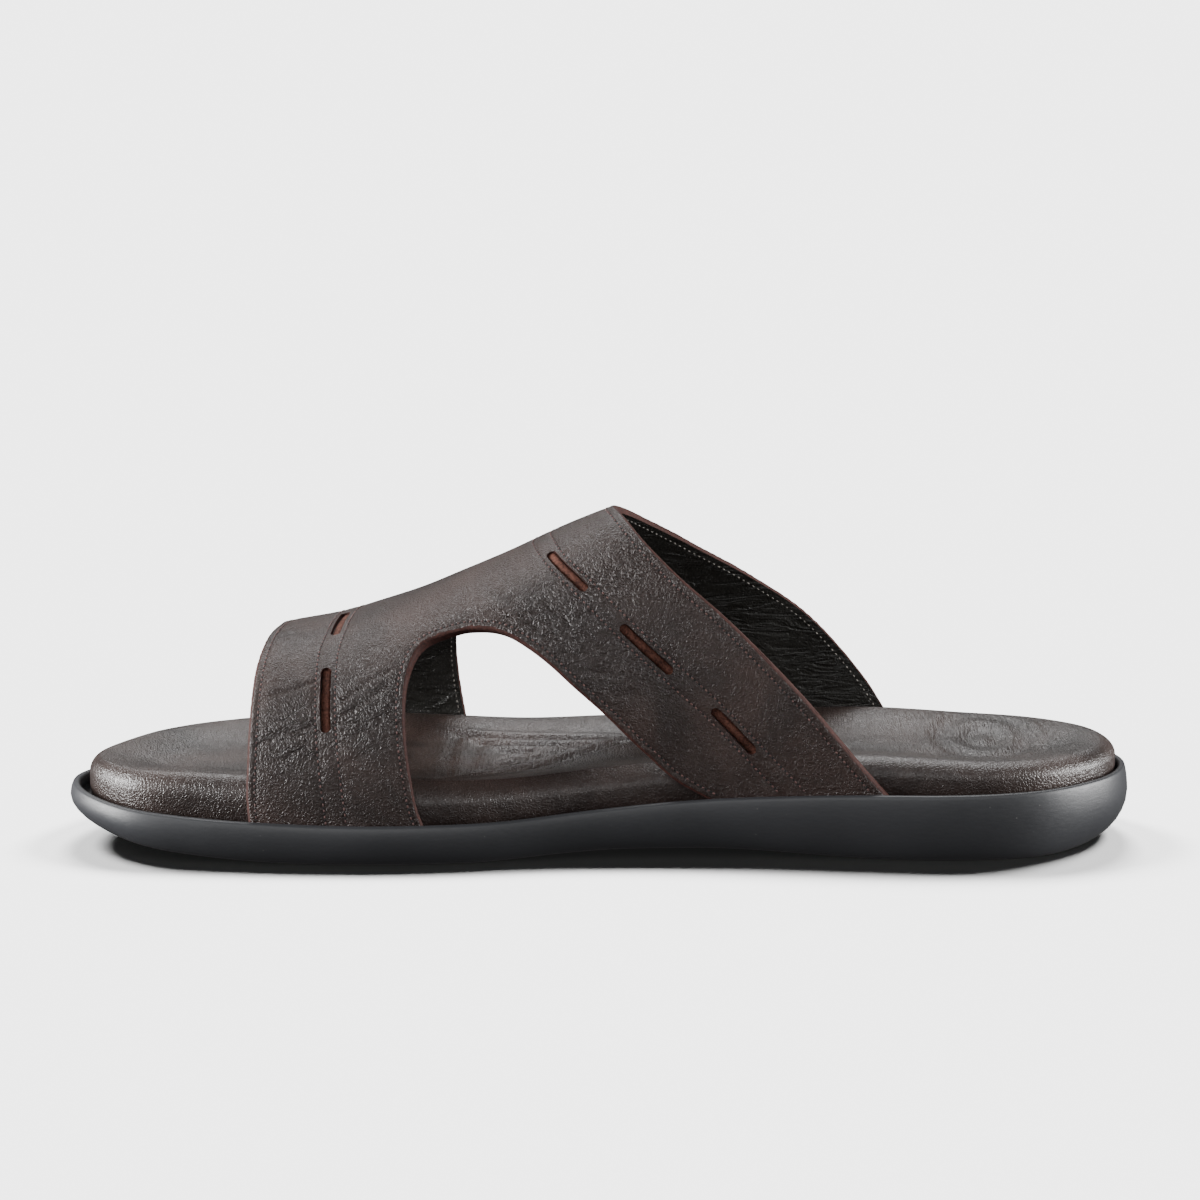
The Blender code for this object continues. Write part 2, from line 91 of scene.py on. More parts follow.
# %% Sizes of the sole, the footbed and the upper
# Driving sizes of the sole
LENGTH = 285.0 * mm
BALL_WIDTH = 102.0 * mm
TOE_SPRING = 6.5 * mm
WAIST_LIFT = 2.0 * mm
HEEL_BEVEL = 1.2 * mm
EDGE_UNDERCUT = 3.5 * mm
END_UNDERCUT = 10.0 * mm
TREAD_BORDER = 6.0 * mm
RIM_LEAN = 0.9 * mm
RIM_WALL = 1.8 * mm
CUP_DEPTH = 5.0 * mm

# Driving sizes of the footbed
BED_CREST = 5.5 * mm
BED_TOE_CREST = 3.2 * mm
BED_HEEL_CREST = 4.6 * mm
MEDIAL_DROP = 1.2 * mm
BED_DISH = 3.0 * mm
DISH_REACH = 20.0 * mm
BED_TOE_GAP = 2.6 * mm
BED_HEEL_GAP = 0.8 * mm
BED_STRAP_GAP = 0.75 * mm

# Driving sizes of the upper
WALL = 2.6 * mm
MEDIAL_ROUNDNESS = 2.45
LATERAL_ROUNDNESS = 2.40
INSTEP_ROUNDNESS = 2.05
CREST_SHIFT = -3.0 * mm

# Clearance between pieces that meet, and between the curved foot of the upper and the cup
GAP = 0.3 * mm
STRAP_GAP = 0.45 * mm
print("sole", round(LENGTH / mm), "mm long and", round(BALL_WIDTH / mm), "mm wide at the ball of the foot")

# %% The outline and the side view, as tables
# Plan outline of the sole: (share of LENGTH from the toe, medial and lateral shares of half BALL_WIDTH)
OUTLINE = (
    (0.00, 0.294, -0.294),
    (0.02, 0.618, 0.069),
    (0.06, 0.814, 0.412),
    (0.13, 0.922, 0.739),
    (0.21, 0.980, 0.947),
    (0.29, 1.000, 1.000),
    (0.38, 0.957, 0.918),
    (0.47, 0.853, 0.790),
    (0.58, 0.800, 0.686),
    (0.70, 0.847, 0.637),
    (0.82, 0.906, 0.588),
    (0.91, 0.830, 0.461),
    (0.97, 0.598, 0.216),
    (1.00, 0.186, -0.186),
)

# Side view: (share of LENGTH from the toe, height of the sole's rim, footbed crest above the rim)
RIM_HEIGHT = 17.8 * mm
BED_RISE = 10.5 * mm
SIDE_VIEW = (
    (0.00, 0.865, 0.68),
    (0.04, 0.775, 0.80),
    (0.10, 0.690, 0.93),
    (0.20, 0.615, 1.00),
    (0.33, 0.590, 1.00),
    (0.42, 0.620, 0.98),
    (0.50, 0.730, 0.97),
    (0.58, 0.840, 0.96),
    (0.65, 0.910, 0.95),
    (0.76, 0.980, 0.92),
    (0.86, 1.000, 0.78),
    (1.00, 1.050, 0.70),
)

# Height of the upper's ridge: (share of LENGTH from the toe, share of INSTEP_HEIGHT)
INSTEP_HEIGHT = 88.0 * mm
RIDGE = (
    (0.14, 0.577),
    (0.20, 0.618),
    (0.26, 0.654),
    (0.31, 0.703),
    (0.38, 0.798),
    (0.45, 0.908),
    (0.51, 0.996),
    (0.60, 1.095),
    (0.72, 1.190),
    (0.85, 1.240),
)
print(len(OUTLINE), "outline stations,", len(SIDE_VIEW), "in the side view,", len(RIDGE), "along the ridge")


# %% Curves through the tables
def smooth_curve(xs, ys, x, periodic=None):
    """Cubic through the points (xs, ys) with slopes taken from their neighbours."""
    xs, ys = np.asarray(xs, float), np.asarray(ys, float)
    if periodic:
        xs = np.concatenate([xs[-2:] - periodic, xs, xs[:2] + periodic])
        ys = np.concatenate([ys[-2:], ys, ys[:2]])
    slope = np.gradient(ys, xs)
    x = np.clip(np.asarray(x, float), xs[0], xs[-1])
    i = np.clip(np.searchsorted(xs, x) - 1, 0, len(xs) - 2)
    h = xs[i + 1] - xs[i]
    t = (x - xs[i]) / h
    return (
        ys[i] * (1 + 2 * t) * (1 - t) ** 2
        + slope[i] * h * t * (1 - t) ** 2
        + ys[i + 1] * t * t * (3 - 2 * t)
        + slope[i + 1] * h * t * t * (t - 1)
    )


def column(table, i):
    """One column of a table as an array."""
    return np.array([row[i] for row in table], float)


def share(x):
    """Share of the length from the toe at x."""
    return np.asarray(x) / LENGTH + 0.5


def smoothstep(a, b, x):
    """0 on a's side, 1 on b's side, and a soft S between them."""
    t = np.clip((np.asarray(x, float) - a) / (b - a), 0, 1)
    return t * t * (3 - 2 * t)


def outline(turn):
    """Point of the sole's plan outline at angle turn: 0 is the toe, pi the heel, the medial side between."""
    angle = np.arccos(1 - 2 * column(OUTLINE, 0))
    medial, lateral = -column(OUTLINE, 1), column(OUTLINE, 2)
    turns = np.concatenate([angle, 2 * math.pi - angle[-2:0:-1]])
    sides = np.concatenate([medial, lateral[-2:0:-1]])
    y = smooth_curve(turns, sides, np.mod(turn, 2 * math.pi), periodic=2 * math.pi)
    return np.stack([-LENGTH / 2 * np.cos(turn), y * BALL_WIDTH / 2], axis=-1)


def inset_outline(turn, inset):
    """Outline moved inwards by inset, which may differ from point to point."""
    small = 1e-3
    ahead, behind = outline(turn + small), outline(turn - small)
    along = ahead - behind
    along /= np.linalg.norm(along, axis=-1, keepdims=True)
    inward = np.stack([-along[..., 1], along[..., 0]], axis=-1)
    return outline(turn) + inward * np.asarray(inset)[..., None]


print("the toe's tip lies at", outline(0.0).round(4))


# %% [markdown]
# The sole and the footbed are read off the tables as heights and insets at any x. A function that takes an
# unused y can stand wherever a ring asks for a height at x and y.

# %% Heights and insets of the sole and the footbed
def rim_z(x, y=0.0):
    return RIM_HEIGHT * smooth_curve(column(SIDE_VIEW, 0), column(SIDE_VIEW, 1), share(x))


def crest_z(x, y=0.0):
    """Height of the footbed's raised edge, a little lower on the medial side of the waist and heel."""
    inwards = np.asarray(y) * 2 / BALL_WIDTH
    drop = MEDIAL_DROP * smoothstep(0.25, 0.45, share(x)) * smoothstep(0.1, -0.5, inwards)
    return rim_z(x) + BED_RISE * smooth_curve(column(SIDE_VIEW, 0), column(SIDE_VIEW, 2), share(x)) - drop


def crest_inset(x):
    """How far the crest stands inside the footbed's side."""
    return np.interp(share(x), (0.0, 0.18, 0.85, 1.0), (BED_TOE_CREST, BED_CREST, BED_CREST, BED_HEEL_CREST))


def floor_z(x, y=0.0):
    """Height of the floor of the sole's cup."""
    return rim_z(x) - CUP_DEPTH


def bottom_z(x, y=0.0):
    """Height of the sole's underside: flat at the forefoot and heel, lifted at toe, waist and heel end."""
    s = share(x)
    toe = TOE_SPRING * np.clip((0.26 - s) / 0.26, 0, 1) ** 2.2
    waist = WAIST_LIFT * smoothstep(0.37, 0.53, s) * (1 - smoothstep(0.60, 0.78, s))
    heel = HEEL_BEVEL * np.clip((s - 0.93) / 0.07, 0, 1) ** 1.5
    return toe + waist + heel


EDGE_STEPS = 360
EDGE_TURNS = np.linspace(0, 2 * math.pi, 2 * EDGE_STEPS + 1)


def edge_y(x, inset, lateral):
    """Y of the outline inset by a fixed distance, at x, on one side."""
    ring = inset_outline(EDGE_TURNS, np.full(len(EDGE_TURNS), inset))
    half = ring[EDGE_STEPS + 1:][::-1] if lateral else ring[:EDGE_STEPS + 1]
    return np.interp(x, half[:, 0], half[:, 1])


print("at mid length the rim is", (rim_z(0.0) / mm).round(1), "mm up, the crest", (crest_z(0.0) / mm).round(1))


# %% [markdown]
# The upper lies on the last. Any point of it has two coordinates: its x, and the share of the way round the
# foot from the medial base (0) to the lateral base (1). Seams, slots and creases are all drawn in these.

# %% Cross-sections of the last
STRAP_INSET = RIM_LEAN + RIM_WALL + STRAP_GAP + WALL / 2
SECTION_ANGLES = np.linspace(0, math.pi, 241)


def section(x):
    """The last's cross-section at x: the middle of the upper's wall, medial base to lateral base."""
    base = float(floor_z(x)) + GAP
    medial = edge_y(x, STRAP_INSET, False)
    lateral = edge_y(x, STRAP_INSET, True)
    ridge_y = (medial + lateral) / 2 + CREST_SHIFT
    height = INSTEP_HEIGHT * smooth_curve(column(RIDGE, 0), column(RIDGE, 1), share(x)) - WALL / 2 - base
    cosine, sine = np.cos(SECTION_ANGLES), np.sin(SECTION_ANGLES)
    lateral_roundness = np.interp(share(x), (0.36, 0.535), (LATERAL_ROUNDNESS, INSTEP_ROUNDNESS))
    roundness = np.where(cosine > 0, MEDIAL_ROUNDNESS, lateral_roundness)
    reach = np.where(cosine > 0, medial - ridge_y, lateral - ridge_y)
    y = ridge_y + reach * np.abs(cosine) ** (2 / roundness)
    z = base + height * np.abs(sine) ** (2 / roundness)
    return np.stack([y, z], axis=-1)


SECTION_STEP = LENGTH / 190
_sections = {}


def section_point(x, around):
    """Point of the upper's mid-surface at x, a share around of the way from the medial to the lateral base.

    A share below 0 or above 1 goes straight down from the base.
    """
    inside = min(max(around, 0.0), 1.0)
    low = math.floor(x / SECTION_STEP)
    found = []
    for k in (low, low + 1):
        if k not in _sections:
            points = section(k * SECTION_STEP)
            steps = np.linalg.norm(np.diff(points, axis=0), axis=1)
            run = np.concatenate([[0], np.cumsum(steps)])
            _sections[k] = (run, points)
        run, points = _sections[k]
        below = abs(around - inside) * run[-1]
        at = inside * run[-1]
        found.append([np.interp(at, run, points[:, 0]), np.interp(at, run, points[:, 1]) - below])
    t = x / SECTION_STEP - low
    y, z = (1 - t) * np.array(found[0]) + t * np.array(found[1])
    return np.array([x, y, z])


print("the ridge at mid length lies at", section_point(0.0, 0.5).round(4))


# %% The straps, their cut-outs and their slots, as tables
# Straps, by share around the section from the medial base: x as shares of LENGTH for the front edge,
# the front lace line, the back lace line and the back edge
STRAPS = (
    (0.00, -0.323, -0.242, 0.197, 0.281),
    (0.05, -0.326, -0.245, 0.164, 0.248),
    (0.09, -0.327, -0.248, 0.139, 0.224),
    (0.14, -0.326, -0.251, 0.108, 0.195),
    (0.20, -0.325, -0.2535, 0.068, 0.158),
    (0.27, -0.323, -0.2540, 0.025, 0.114),
    (0.34, -0.320, -0.2525, -0.012, 0.069),
    (0.41, -0.315, -0.247, -0.042, 0.035),
    (0.46, -0.312, -0.244, -0.051, 0.021),
    (0.50, -0.309, -0.241, -0.053, 0.016),
    (0.54, -0.305, -0.238, -0.049, 0.019),
    (0.60, -0.302, -0.234, -0.030, 0.042),
    (0.67, -0.296, -0.229, 0.003, 0.088),
    (0.74, -0.291, -0.224, 0.054, 0.146),
    (0.80, -0.288, -0.219, 0.098, 0.196),
    (0.86, -0.285, -0.214, 0.138, 0.234),
    (0.91, -0.283, -0.210, 0.170, 0.261),
    (0.95, -0.281, -0.207, 0.196, 0.279),
    (1.00, -0.280, -0.204, 0.228, 0.302),
)

# Side cut-out, by share of its height: x of its front and back edges as shares of LENGTH
CUTOUT_TOP = 0.328
CUTOUT_LATERAL_SHIFT = 11.5 * mm
CUTOUT = (
    (0.00, -0.1605, 0.127),
    (0.07, -0.1630, 0.101),
    (0.14, -0.1680, 0.076),
    (0.29, -0.1740, 0.0420),
    (0.48, -0.1790, 0.0050),
    (0.62, -0.1805, -0.0230),
    (0.75, -0.1795, -0.0470),
    (0.86, -0.1750, -0.0700),
    (0.925, -0.1700, -0.0860),
    (0.965, -0.1635, -0.1010),
    (0.99, -0.1530, -0.1170),
    (1.00, -0.1300, -0.1300),
)

# Lace slots: their width, and where each begins and ends as shares around
SLOT_WIDTH = 2.8 * mm
FRONT_SLOTS = ((0.185, 0.305), (0.395, 0.520), (0.690, 0.810))
BACK_SLOTS = ((0.082, 0.146), (0.202, 0.280), (0.340, 0.424), (0.576, 0.660), (0.720, 0.798), (0.854, 0.918))
print(len(FRONT_SLOTS), "slots in front,", len(BACK_SLOTS), "behind")


# %% The underside's edge, the footbed's gap and the lines of the straps
def undercut(x):
    """How far the underside's edge stands inside the widest line: more at the toe and heel ends."""
    end = np.clip((np.abs(x) * 2 / LENGTH - 0.80) / 0.20, 0, 1) ** 1.6
    return EDGE_UNDERCUT + (END_UNDERCUT - EDGE_UNDERCUT) * end


def tread_border(x):
    """Width of the flat border round the tread: it narrows towards the toe and heel ends."""
    return TREAD_BORDER * np.interp(np.abs(x) * 2 / LENGTH, (0.7, 1.0), (1.0, 0.25))


def bed_gap(x):
    """Gap between the cup's wall and the footbed's side: the strap tucks in along the middle."""
    strap = STRAP_GAP + WALL + BED_STRAP_GAP
    shares = (0.0, 0.05, 0.12, 0.80, 0.90, 1.0)
    gaps = (BED_TOE_GAP, BED_TOE_GAP, strap, strap, (strap + BED_HEEL_GAP) / 2, BED_HEEL_GAP)
    return np.interp(share(x), shares, gaps)


def bed_inset(x):
    """How far the footbed's side stands inside the outline of the sole."""
    return RIM_LEAN + RIM_WALL + bed_gap(x)


def bed_top(x, y, depth):
    """Height of the footbed's top surface at x, y, a given distance inside its crest."""
    return crest_z(x, y) - BED_DISH * smoothstep(0, DISH_REACH, depth)


def strap_x(around, i):
    """x of one line of the STRAPS table, at a share around."""
    return LENGTH * smooth_curve(column(STRAPS, 0), column(STRAPS, i), around)


def cutout_x(around, i):
    """x of the front (i = 1) or back (i = 2) edge of the side cut-outs, or of the joint above them."""
    shift = CUTOUT_LATERAL_SHIFT * smoothstep(CUTOUT_TOP, 1 - CUTOUT_TOP, around)
    height = min(around, 1 - around) / CUTOUT_TOP
    if height >= 1:
        return CUTOUT[-1][1] * LENGTH + shift
    turn = np.arcsin(column(CUTOUT, 0))
    return LENGTH * smooth_curve(turn, column(CUTOUT, i), math.asin(height)) + shift


def wall_normal(x, around):
    """Outward normal of the upper's mid-surface."""
    step, turn = LENGTH / 140, 0.01
    low, high = max(around - turn, 0), min(around + turn, 1)
    along = section_point(x + step, around) - section_point(x - step, around)
    up = section_point(x, high) - section_point(x, low)
    normal = np.cross(along, up)
    return normal / np.linalg.norm(normal)


cutout_foot = [round(float(cutout_x(0.0, i)) / mm, 1) for i in (1, 2)]
print("the medial cut-out opens at the base from x", cutout_foot[0], "to", cutout_foot[1], "mm")


# %% [markdown]
# ## Shader arithmetic
# A finish is a small network of nodes. The `Wire` class lets a socket stand in a Python expression, so
# `grain * 0.3 + wear` adds the Math nodes by itself, and `Finish.node` makes any other node in one line.

# %% Wire: a socket that does arithmetic
class Wire:
    """A node's output socket that can be added, multiplied and so on like a number."""

    def __init__(self, finish, socket):
        self.finish, self.socket = finish, socket

    def _math(self, operation, *values):
        return self.finish.node("Math", {"operation": operation}, dict(enumerate(values)))

    def __add__(self, other):
        return self._math("ADD", self, other)

    def __sub__(self, other):
        return self._math("SUBTRACT", self, other)

    def __rsub__(self, other):
        return self._math("SUBTRACT", other, self)

    def __mul__(self, other):
        return self._math("MULTIPLY", self, other)

    def above(self, low, high):
        """0 below low, 1 above high, smooth between; low may be the larger."""
        settings = {"interpolation_type": "SMOOTHSTEP"}
        return self.finish.node("MapRange", settings, {"Value": self, "From Min": low, "From Max": high})

    def ridges(self, width):
        """Thin lines of 1 along the middle value of a noise, falling to 0 at a width either side."""
        return self.finish.node("Math", {"operation": "ABSOLUTE"}, {0: self - 0.5}).above(width, 0.0)

    __radd__, __rmul__ = __add__, __mul__


# %% Finish: a material and its nodes
class Finish:
    """A material of one Principled shader, and the nodes that feed it."""

    def __init__(self, name, roughness=0.5, **constants):
        self.material = bpy.data.materials.new(name)
        self.material.use_nodes = True
        self.tree = self.material.node_tree
        self.shader = self.tree.nodes["Principled BSDF"]
        self.shader.inputs["Roughness"].default_value = roughness
        for socket, value in constants.items():
            self.shader.inputs[socket.replace("_", " ")].default_value = value
        place = self.tree.nodes.new("ShaderNodeTexCoord")
        self.place = Wire(self, place.outputs["Object"])

    def node(self, kind, settings=None, values=None, output=0):
        """Any node: its type, its settings, and a value or a Wire for each of its input sockets."""
        made = self.tree.nodes.new("ShaderNode" + kind)
        for name, value in (settings or {}).items():
            setattr(made, name, value)
        for name, value in (values or {}).items():
            if isinstance(value, Wire):
                self.tree.links.new(value.socket, made.inputs[name])
            else:
                made.inputs[name].default_value = value
        return Wire(self, made.outputs[output])

    def noise(self, size, detail=2.0, stretch=(1, 1, 1), roughness=0.5, warp=0.0, rise=0.0):
        """Noise with features of about size metres, drawn out by stretch; its long axis climbs by rise."""
        values = {"Vector": self.place, "Rotation": (0, -rise, 0), "Scale": stretch}
        placed = self.node("Mapping", {"vector_type": "TEXTURE"}, values)
        values = {"Vector": placed, "Scale": 1 / size, "Detail": detail}
        return self.node("TexNoise", {}, {**values, "Roughness": roughness, "Distortion": warp})

    def cells(self, size, feature="DISTANCE_TO_EDGE", stretch=(1, 1, 1), offset=None):
        """Voronoi cells of about size metres: by default 0 at their edges and larger towards the middle."""
        vector = self.node("Mapping", {}, {"Vector": self.place, "Scale": [1 / s for s in stretch]})
        if offset is not None:
            vector = self.node("VectorMath", {"operation": "ADD"}, {0: vector, 1: offset})
        return self.node("TexVoronoi", {"feature": feature}, {"Vector": vector, "Scale": 1 / size})

    def colour_noise(self, size, amount):
        """A small sideways push for another pattern's coordinates."""
        noisy = self.node("TexNoise", {}, {"Vector": self.place, "Scale": 1 / size, "Detail": 2.0}, output=1)
        centred = self.node("VectorMath", {"operation": "SUBTRACT"}, {0: noisy, 1: (0.5, 0.5, 0.5)})
        return self.node("VectorMath", {"operation": "SCALE"}, {0: centred, "Scale": amount})

    def attribute(self, name):
        return self.node("Attribute", {"attribute_name": name}, {}, output=2)

    def mix(self, factor, a, b):
        """Blend of two colours: sockets 6 and 7 of the Mix node are its colour inputs."""
        a, b = (c if isinstance(c, Wire) else (*c, 1) for c in (a, b))
        return self.node("Mix", {"data_type": "RGBA"}, {0: factor, 6: a, 7: b}, output=2)

    def base(self, colour):
        self.feed("Base Color", colour)

    def feed(self, name, wire):
        """Link a Wire to a socket of the shader."""
        self.tree.links.new(wire.socket, self.shader.inputs[name])

    def bumps(self, *layers):
        """Bump nodes in a chain: each layer is (height, strength, depth in metres)."""
        last = None
        for height, strength, depth in layers:
            values = {"Height": height, "Strength": strength, "Distance": depth}
            if last:
                values["Normal"] = last
            last = self.node("Bump", {}, values)
        self.feed("Normal", last)


# %% [markdown]
# ## Leather
# The straps are full-grain leather with a satin dressing: dark brown, a little uneven, with a grain of
# fine pebbles that only shows where light glances off it. Where the foot bends the strap the grain is
# broken into wider wrinkles: long slanting creases in the front strap, coarse cells in the back one. An image
# of leather could be wrapped round instead, but noise and cells have no seams and no lit side of their own.
# The vertex attribute `flex` says where the strap bends, so one finish serves the whole upper; there the base
# colour is also darkened, as painted shade in the wrinkles.

# %% Leather finishes
BROWN = (0.033, 0.0172, 0.0134)
DARK_BROWN = (0.0100, 0.0056, 0.0046)
RAW_EDGE = (0.056, 0.021, 0.0165)
LINING = (0.0170, 0.0162, 0.0135)
# x at which the back strap's wrinkles end and the front strap's are at full strength
FRONT_STRAP = (-38 * mm, -50 * mm)


def strap_leather():
    finish = Finish("strap_leather", roughness=0.36, Specular_IOR_Level=0.44)
    mottled = finish.noise(22 * mm, detail=4.0, warp=0.6)
    fine = finish.noise(0.75 * mm, detail=3.0, roughness=0.65)
    flex = finish.attribute("flex")
    front = finish.node("SeparateXYZ", {}, {"Vector": finish.place}).above(*FRONT_STRAP)
    push = finish.colour_noise(1.6 * mm, 1.1 * mm)
    pebbles = finish.cells(0.8 * mm, offset=push)
    creases = finish.noise(2.8 * mm, detail=2.5, stretch=(5.0, 3.0, 1.0), warp=0.5, rise=0.45).ridges(0.035)
    cells = finish.cells(1.6 * mm, stretch=(1.4, 1.0, 0.9), offset=push)
    # The colour darkens where the strap flexes: painted shade in its wrinkles, laid over the leather's own
    # uneven tone
    tone = (mottled.above(0.3, 0.75) * 0.7 + fine * 0.3) * (1 - flex * 0.65)
    finish.base(finish.mix(tone, DARK_BROWN, BROWN))
    finish.feed("Roughness", mottled * 0.14 + fine * 0.14 + 0.27)
    finish.bumps(
        (1 - creases * flex.above(0.2, 0.6) * (front * 0.75 + 0.25), 0.9, 0.24 * mm),
        (cells.above(0.0, 0.30) * flex.above(0.12, 0.9) * (1 - front * 0.6), 0.8, 0.20 * mm),
        (pebbles.above(0.0, 0.34) * (flex * 0.3 + 0.6), 0.8, 0.17 * mm),
        (fine * (flex * 0.2 + 0.8), 0.9, 0.34 * mm),
    )
    return finish.material


def cut_edge():
    finish = Finish("cut_edge", roughness=0.70, Specular_IOR_Level=0.18)
    fibres = finish.noise(0.7 * mm, detail=4.0)
    finish.base(finish.mix(fibres.above(0.25, 0.8), (0.024, 0.0095, 0.008), RAW_EDGE))
    finish.bumps((fibres, 0.4, 0.10 * mm))
    return finish.material


def lining_leather():
    finish = Finish("lining_leather", roughness=0.40, Specular_IOR_Level=0.5)
    soft = finish.noise(14 * mm, detail=3.0)
    pores = finish.cells(0.9 * mm, offset=finish.colour_noise(3 * mm, 1.0 * mm))
    creases = finish.noise(5.0 * mm, detail=4.0, stretch=(3.0, 1.0, 0.8), warp=1.4)
    finish.base(finish.mix(soft, (0.0065, 0.0060, 0.0050), LINING))
    finish.feed("Roughness", soft * 0.2 + 0.27)
    finish.bumps(
        (creases.ridges(0.14), 0.75, 0.30 * mm),
        (creases, 0.4, 0.6 * mm),
        (pores.above(0.0, 0.25), 0.5, 0.12 * mm),
    )
    return finish.material


def strip_leather():
    finish = Finish("strip_leather", roughness=0.80, Specular_IOR_Level=0.2)
    weave = finish.noise(0.55 * mm, detail=3.0)
    worn = finish.noise(3.5 * mm, detail=3.0)
    tone = (weave * 0.6 + worn * 0.4).above(0.3, 0.7)
    finish.base(finish.mix(tone, (0.034, 0.0115, 0.0075), (0.135, 0.055, 0.038)))
    finish.bumps((weave, 0.9, 0.22 * mm))
    return finish.material


STRAP_LEATHER, CUT_EDGE = strap_leather(), cut_edge()
LINING_LEATHER, STRIP_LEATHER = lining_leather(), strip_leather()
print("leathers:", STRAP_LEATHER.name, CUT_EDGE.name, LINING_LEATHER.name, STRIP_LEATHER.name)

# %% [markdown]
# ## The upper
# The upper is one piece of leather sewn to one of lining. Each is drawn as two flat grids, the front strap
# and the back strap, whose points are carried onto the last: one direction runs round the foot, the other
# from the front edge to the back edge. The grids meet over the instep and part round the side cut-outs.
# A Solidify modifier then gives each layer its thickness, and slim cutters open the slots. Cutting a plain
# tube with Booleans would be shorter, but a grid can lay its columns along each seam and each cut edge.

# %% A piece, and a grid carried onto the last
LAYER = WALL / 2
SMALL_SHARE = 0.004


def piece(name, shape, nodes=(), finishes=()):
    """Close a bmesh as a named object that rides on the sandal."""
    mesh = bpy.data.meshes.new(name)
    shape.to_mesh(mesh)
    shape.free()
    made = bpy.data.objects.new(name, mesh)
    bpy.context.scene.collection.objects.link(made)
    for finish in finishes:
        mesh.materials.append(finish)
    mesh.shade_smooth()
    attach(made, "root")
    if nodes:
        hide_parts(*nodes)
    print(name, len(mesh.polygons), "faces")
    return made


def settle(made, angle=38):
    """Apply the modifiers, and keep edges sharper than the angle crisp."""
    graph = bpy.context.evaluated_depsgraph_get()
    mesh = bpy.data.meshes.new_from_object(made.evaluated_get(graph))
    made.modifiers.clear()
    made.data = mesh
    mesh.shade_smooth()
    mesh.set_sharp_from_angle(angle=math.radians(angle))
    print(made.name, len(mesh.polygons), "faces with its thickness")


def slide(x, around, distance, along):
    """Move a point of the upper sideways by a distance, square to the direction along.

    On a line that runs round the foot from the medial side, a positive distance is towards the toe.
    """
    low, high = max(around - SMALL_SHARE, 0), min(around + SMALL_SHARE, 1)
    per_x = (section_point(x + mm, around) - section_point(x - mm, around)) / (2 * mm)
    per_share = (section_point(x, high) - section_point(x, low)) / (high - low)
    side = np.cross(wall_normal(x, around), along)
    side *= distance / np.linalg.norm(side)
    dx, da = np.linalg.lstsq(np.column_stack([per_x, per_share]), side, rcond=None)[0]
    return x + dx, around + da


def line_beside(line, distance):
    """A line of (x, around) pairs moved sideways over the upper."""
    points = [section_point(x, a) for x, a in line]
    moved = []
    for i, (x, a) in enumerate(line):
        along = points[min(i + 1, len(line) - 1)] - points[max(i - 1, 0)]
        moved.append(slide(x, a, distance, along))
    return moved


# %% [markdown]
# Every seam follows an edge or a slot's line at a fixed distance, as the presser foot of a sewing machine
# does, so the seams are worked out from those lines and not drawn by hand.

# %% The lines of the upper
def edge_line(i, low=0.0, high=1.0, count=161):
    """Points (x, share around) along column i of STRAPS, from the medial towards the lateral base."""
    return [(float(strap_x(a, i)), a) for a in np.linspace(low, high, count)]


def cutout_line(lateral):
    """Points (x, share around) round one cut-out, up its front edge and down its back edge."""
    rising = [CUTOUT_TOP * math.sin(t) for t in np.linspace(0, math.pi / 2, 60)]
    flip = (lambda a: 1 - a) if lateral else (lambda a: a)
    front = [(float(cutout_x(flip(a), 1)), flip(a)) for a in rising]
    back = [(float(cutout_x(flip(a), 2)), flip(a)) for a in reversed(rising[:-1])]
    return front + back


# How far each seam runs from its edge or from the slots' line, and the share around hidden at the base
EDGE_SEAM = 2.3 * mm
BACK_EDGE_SEAM = EDGE_SEAM + 0.4 * mm
CUTOUT_SEAM = 2.2 * mm
BAND_SEAM = 2.65 * mm
BASE = 0.028

front_edge, front_lace, back_lace, back_edge = (edge_line(i) for i in (1, 2, 3, 4))
SEAMS = {
    "front_edge": line_beside(front_edge, -EDGE_SEAM),
    "front_lace_before": line_beside(front_lace, BAND_SEAM),
    "front_lace_behind": line_beside(front_lace, -BAND_SEAM),
    "back_lace_before": line_beside(back_lace, BAND_SEAM),
    "back_lace_behind": line_beside(back_lace, -BAND_SEAM),
    "back_edge": line_beside(back_edge, BACK_EDGE_SEAM),
    "medial_cutout": line_beside(cutout_line(False), CUTOUT_SEAM),
    "lateral_cutout": line_beside(cutout_line(True), -CUTOUT_SEAM),
}
for name, line in SEAMS.items():
    run = [section_point(x, a) for x, a in line]
    print("seam", name, round(sum(np.linalg.norm(b - a) for a, b in zip(run, run[1:])) / mm), "mm long")

# %% [markdown]
# Thread pulls the leather down a little along each seam, and the foot has left creases. Both are shallow
# troughs in the mesh, because a fold has to catch the light from every side and a bump alone looks flat at
# the rim. A crease is a short line over the leather, given by its ends.

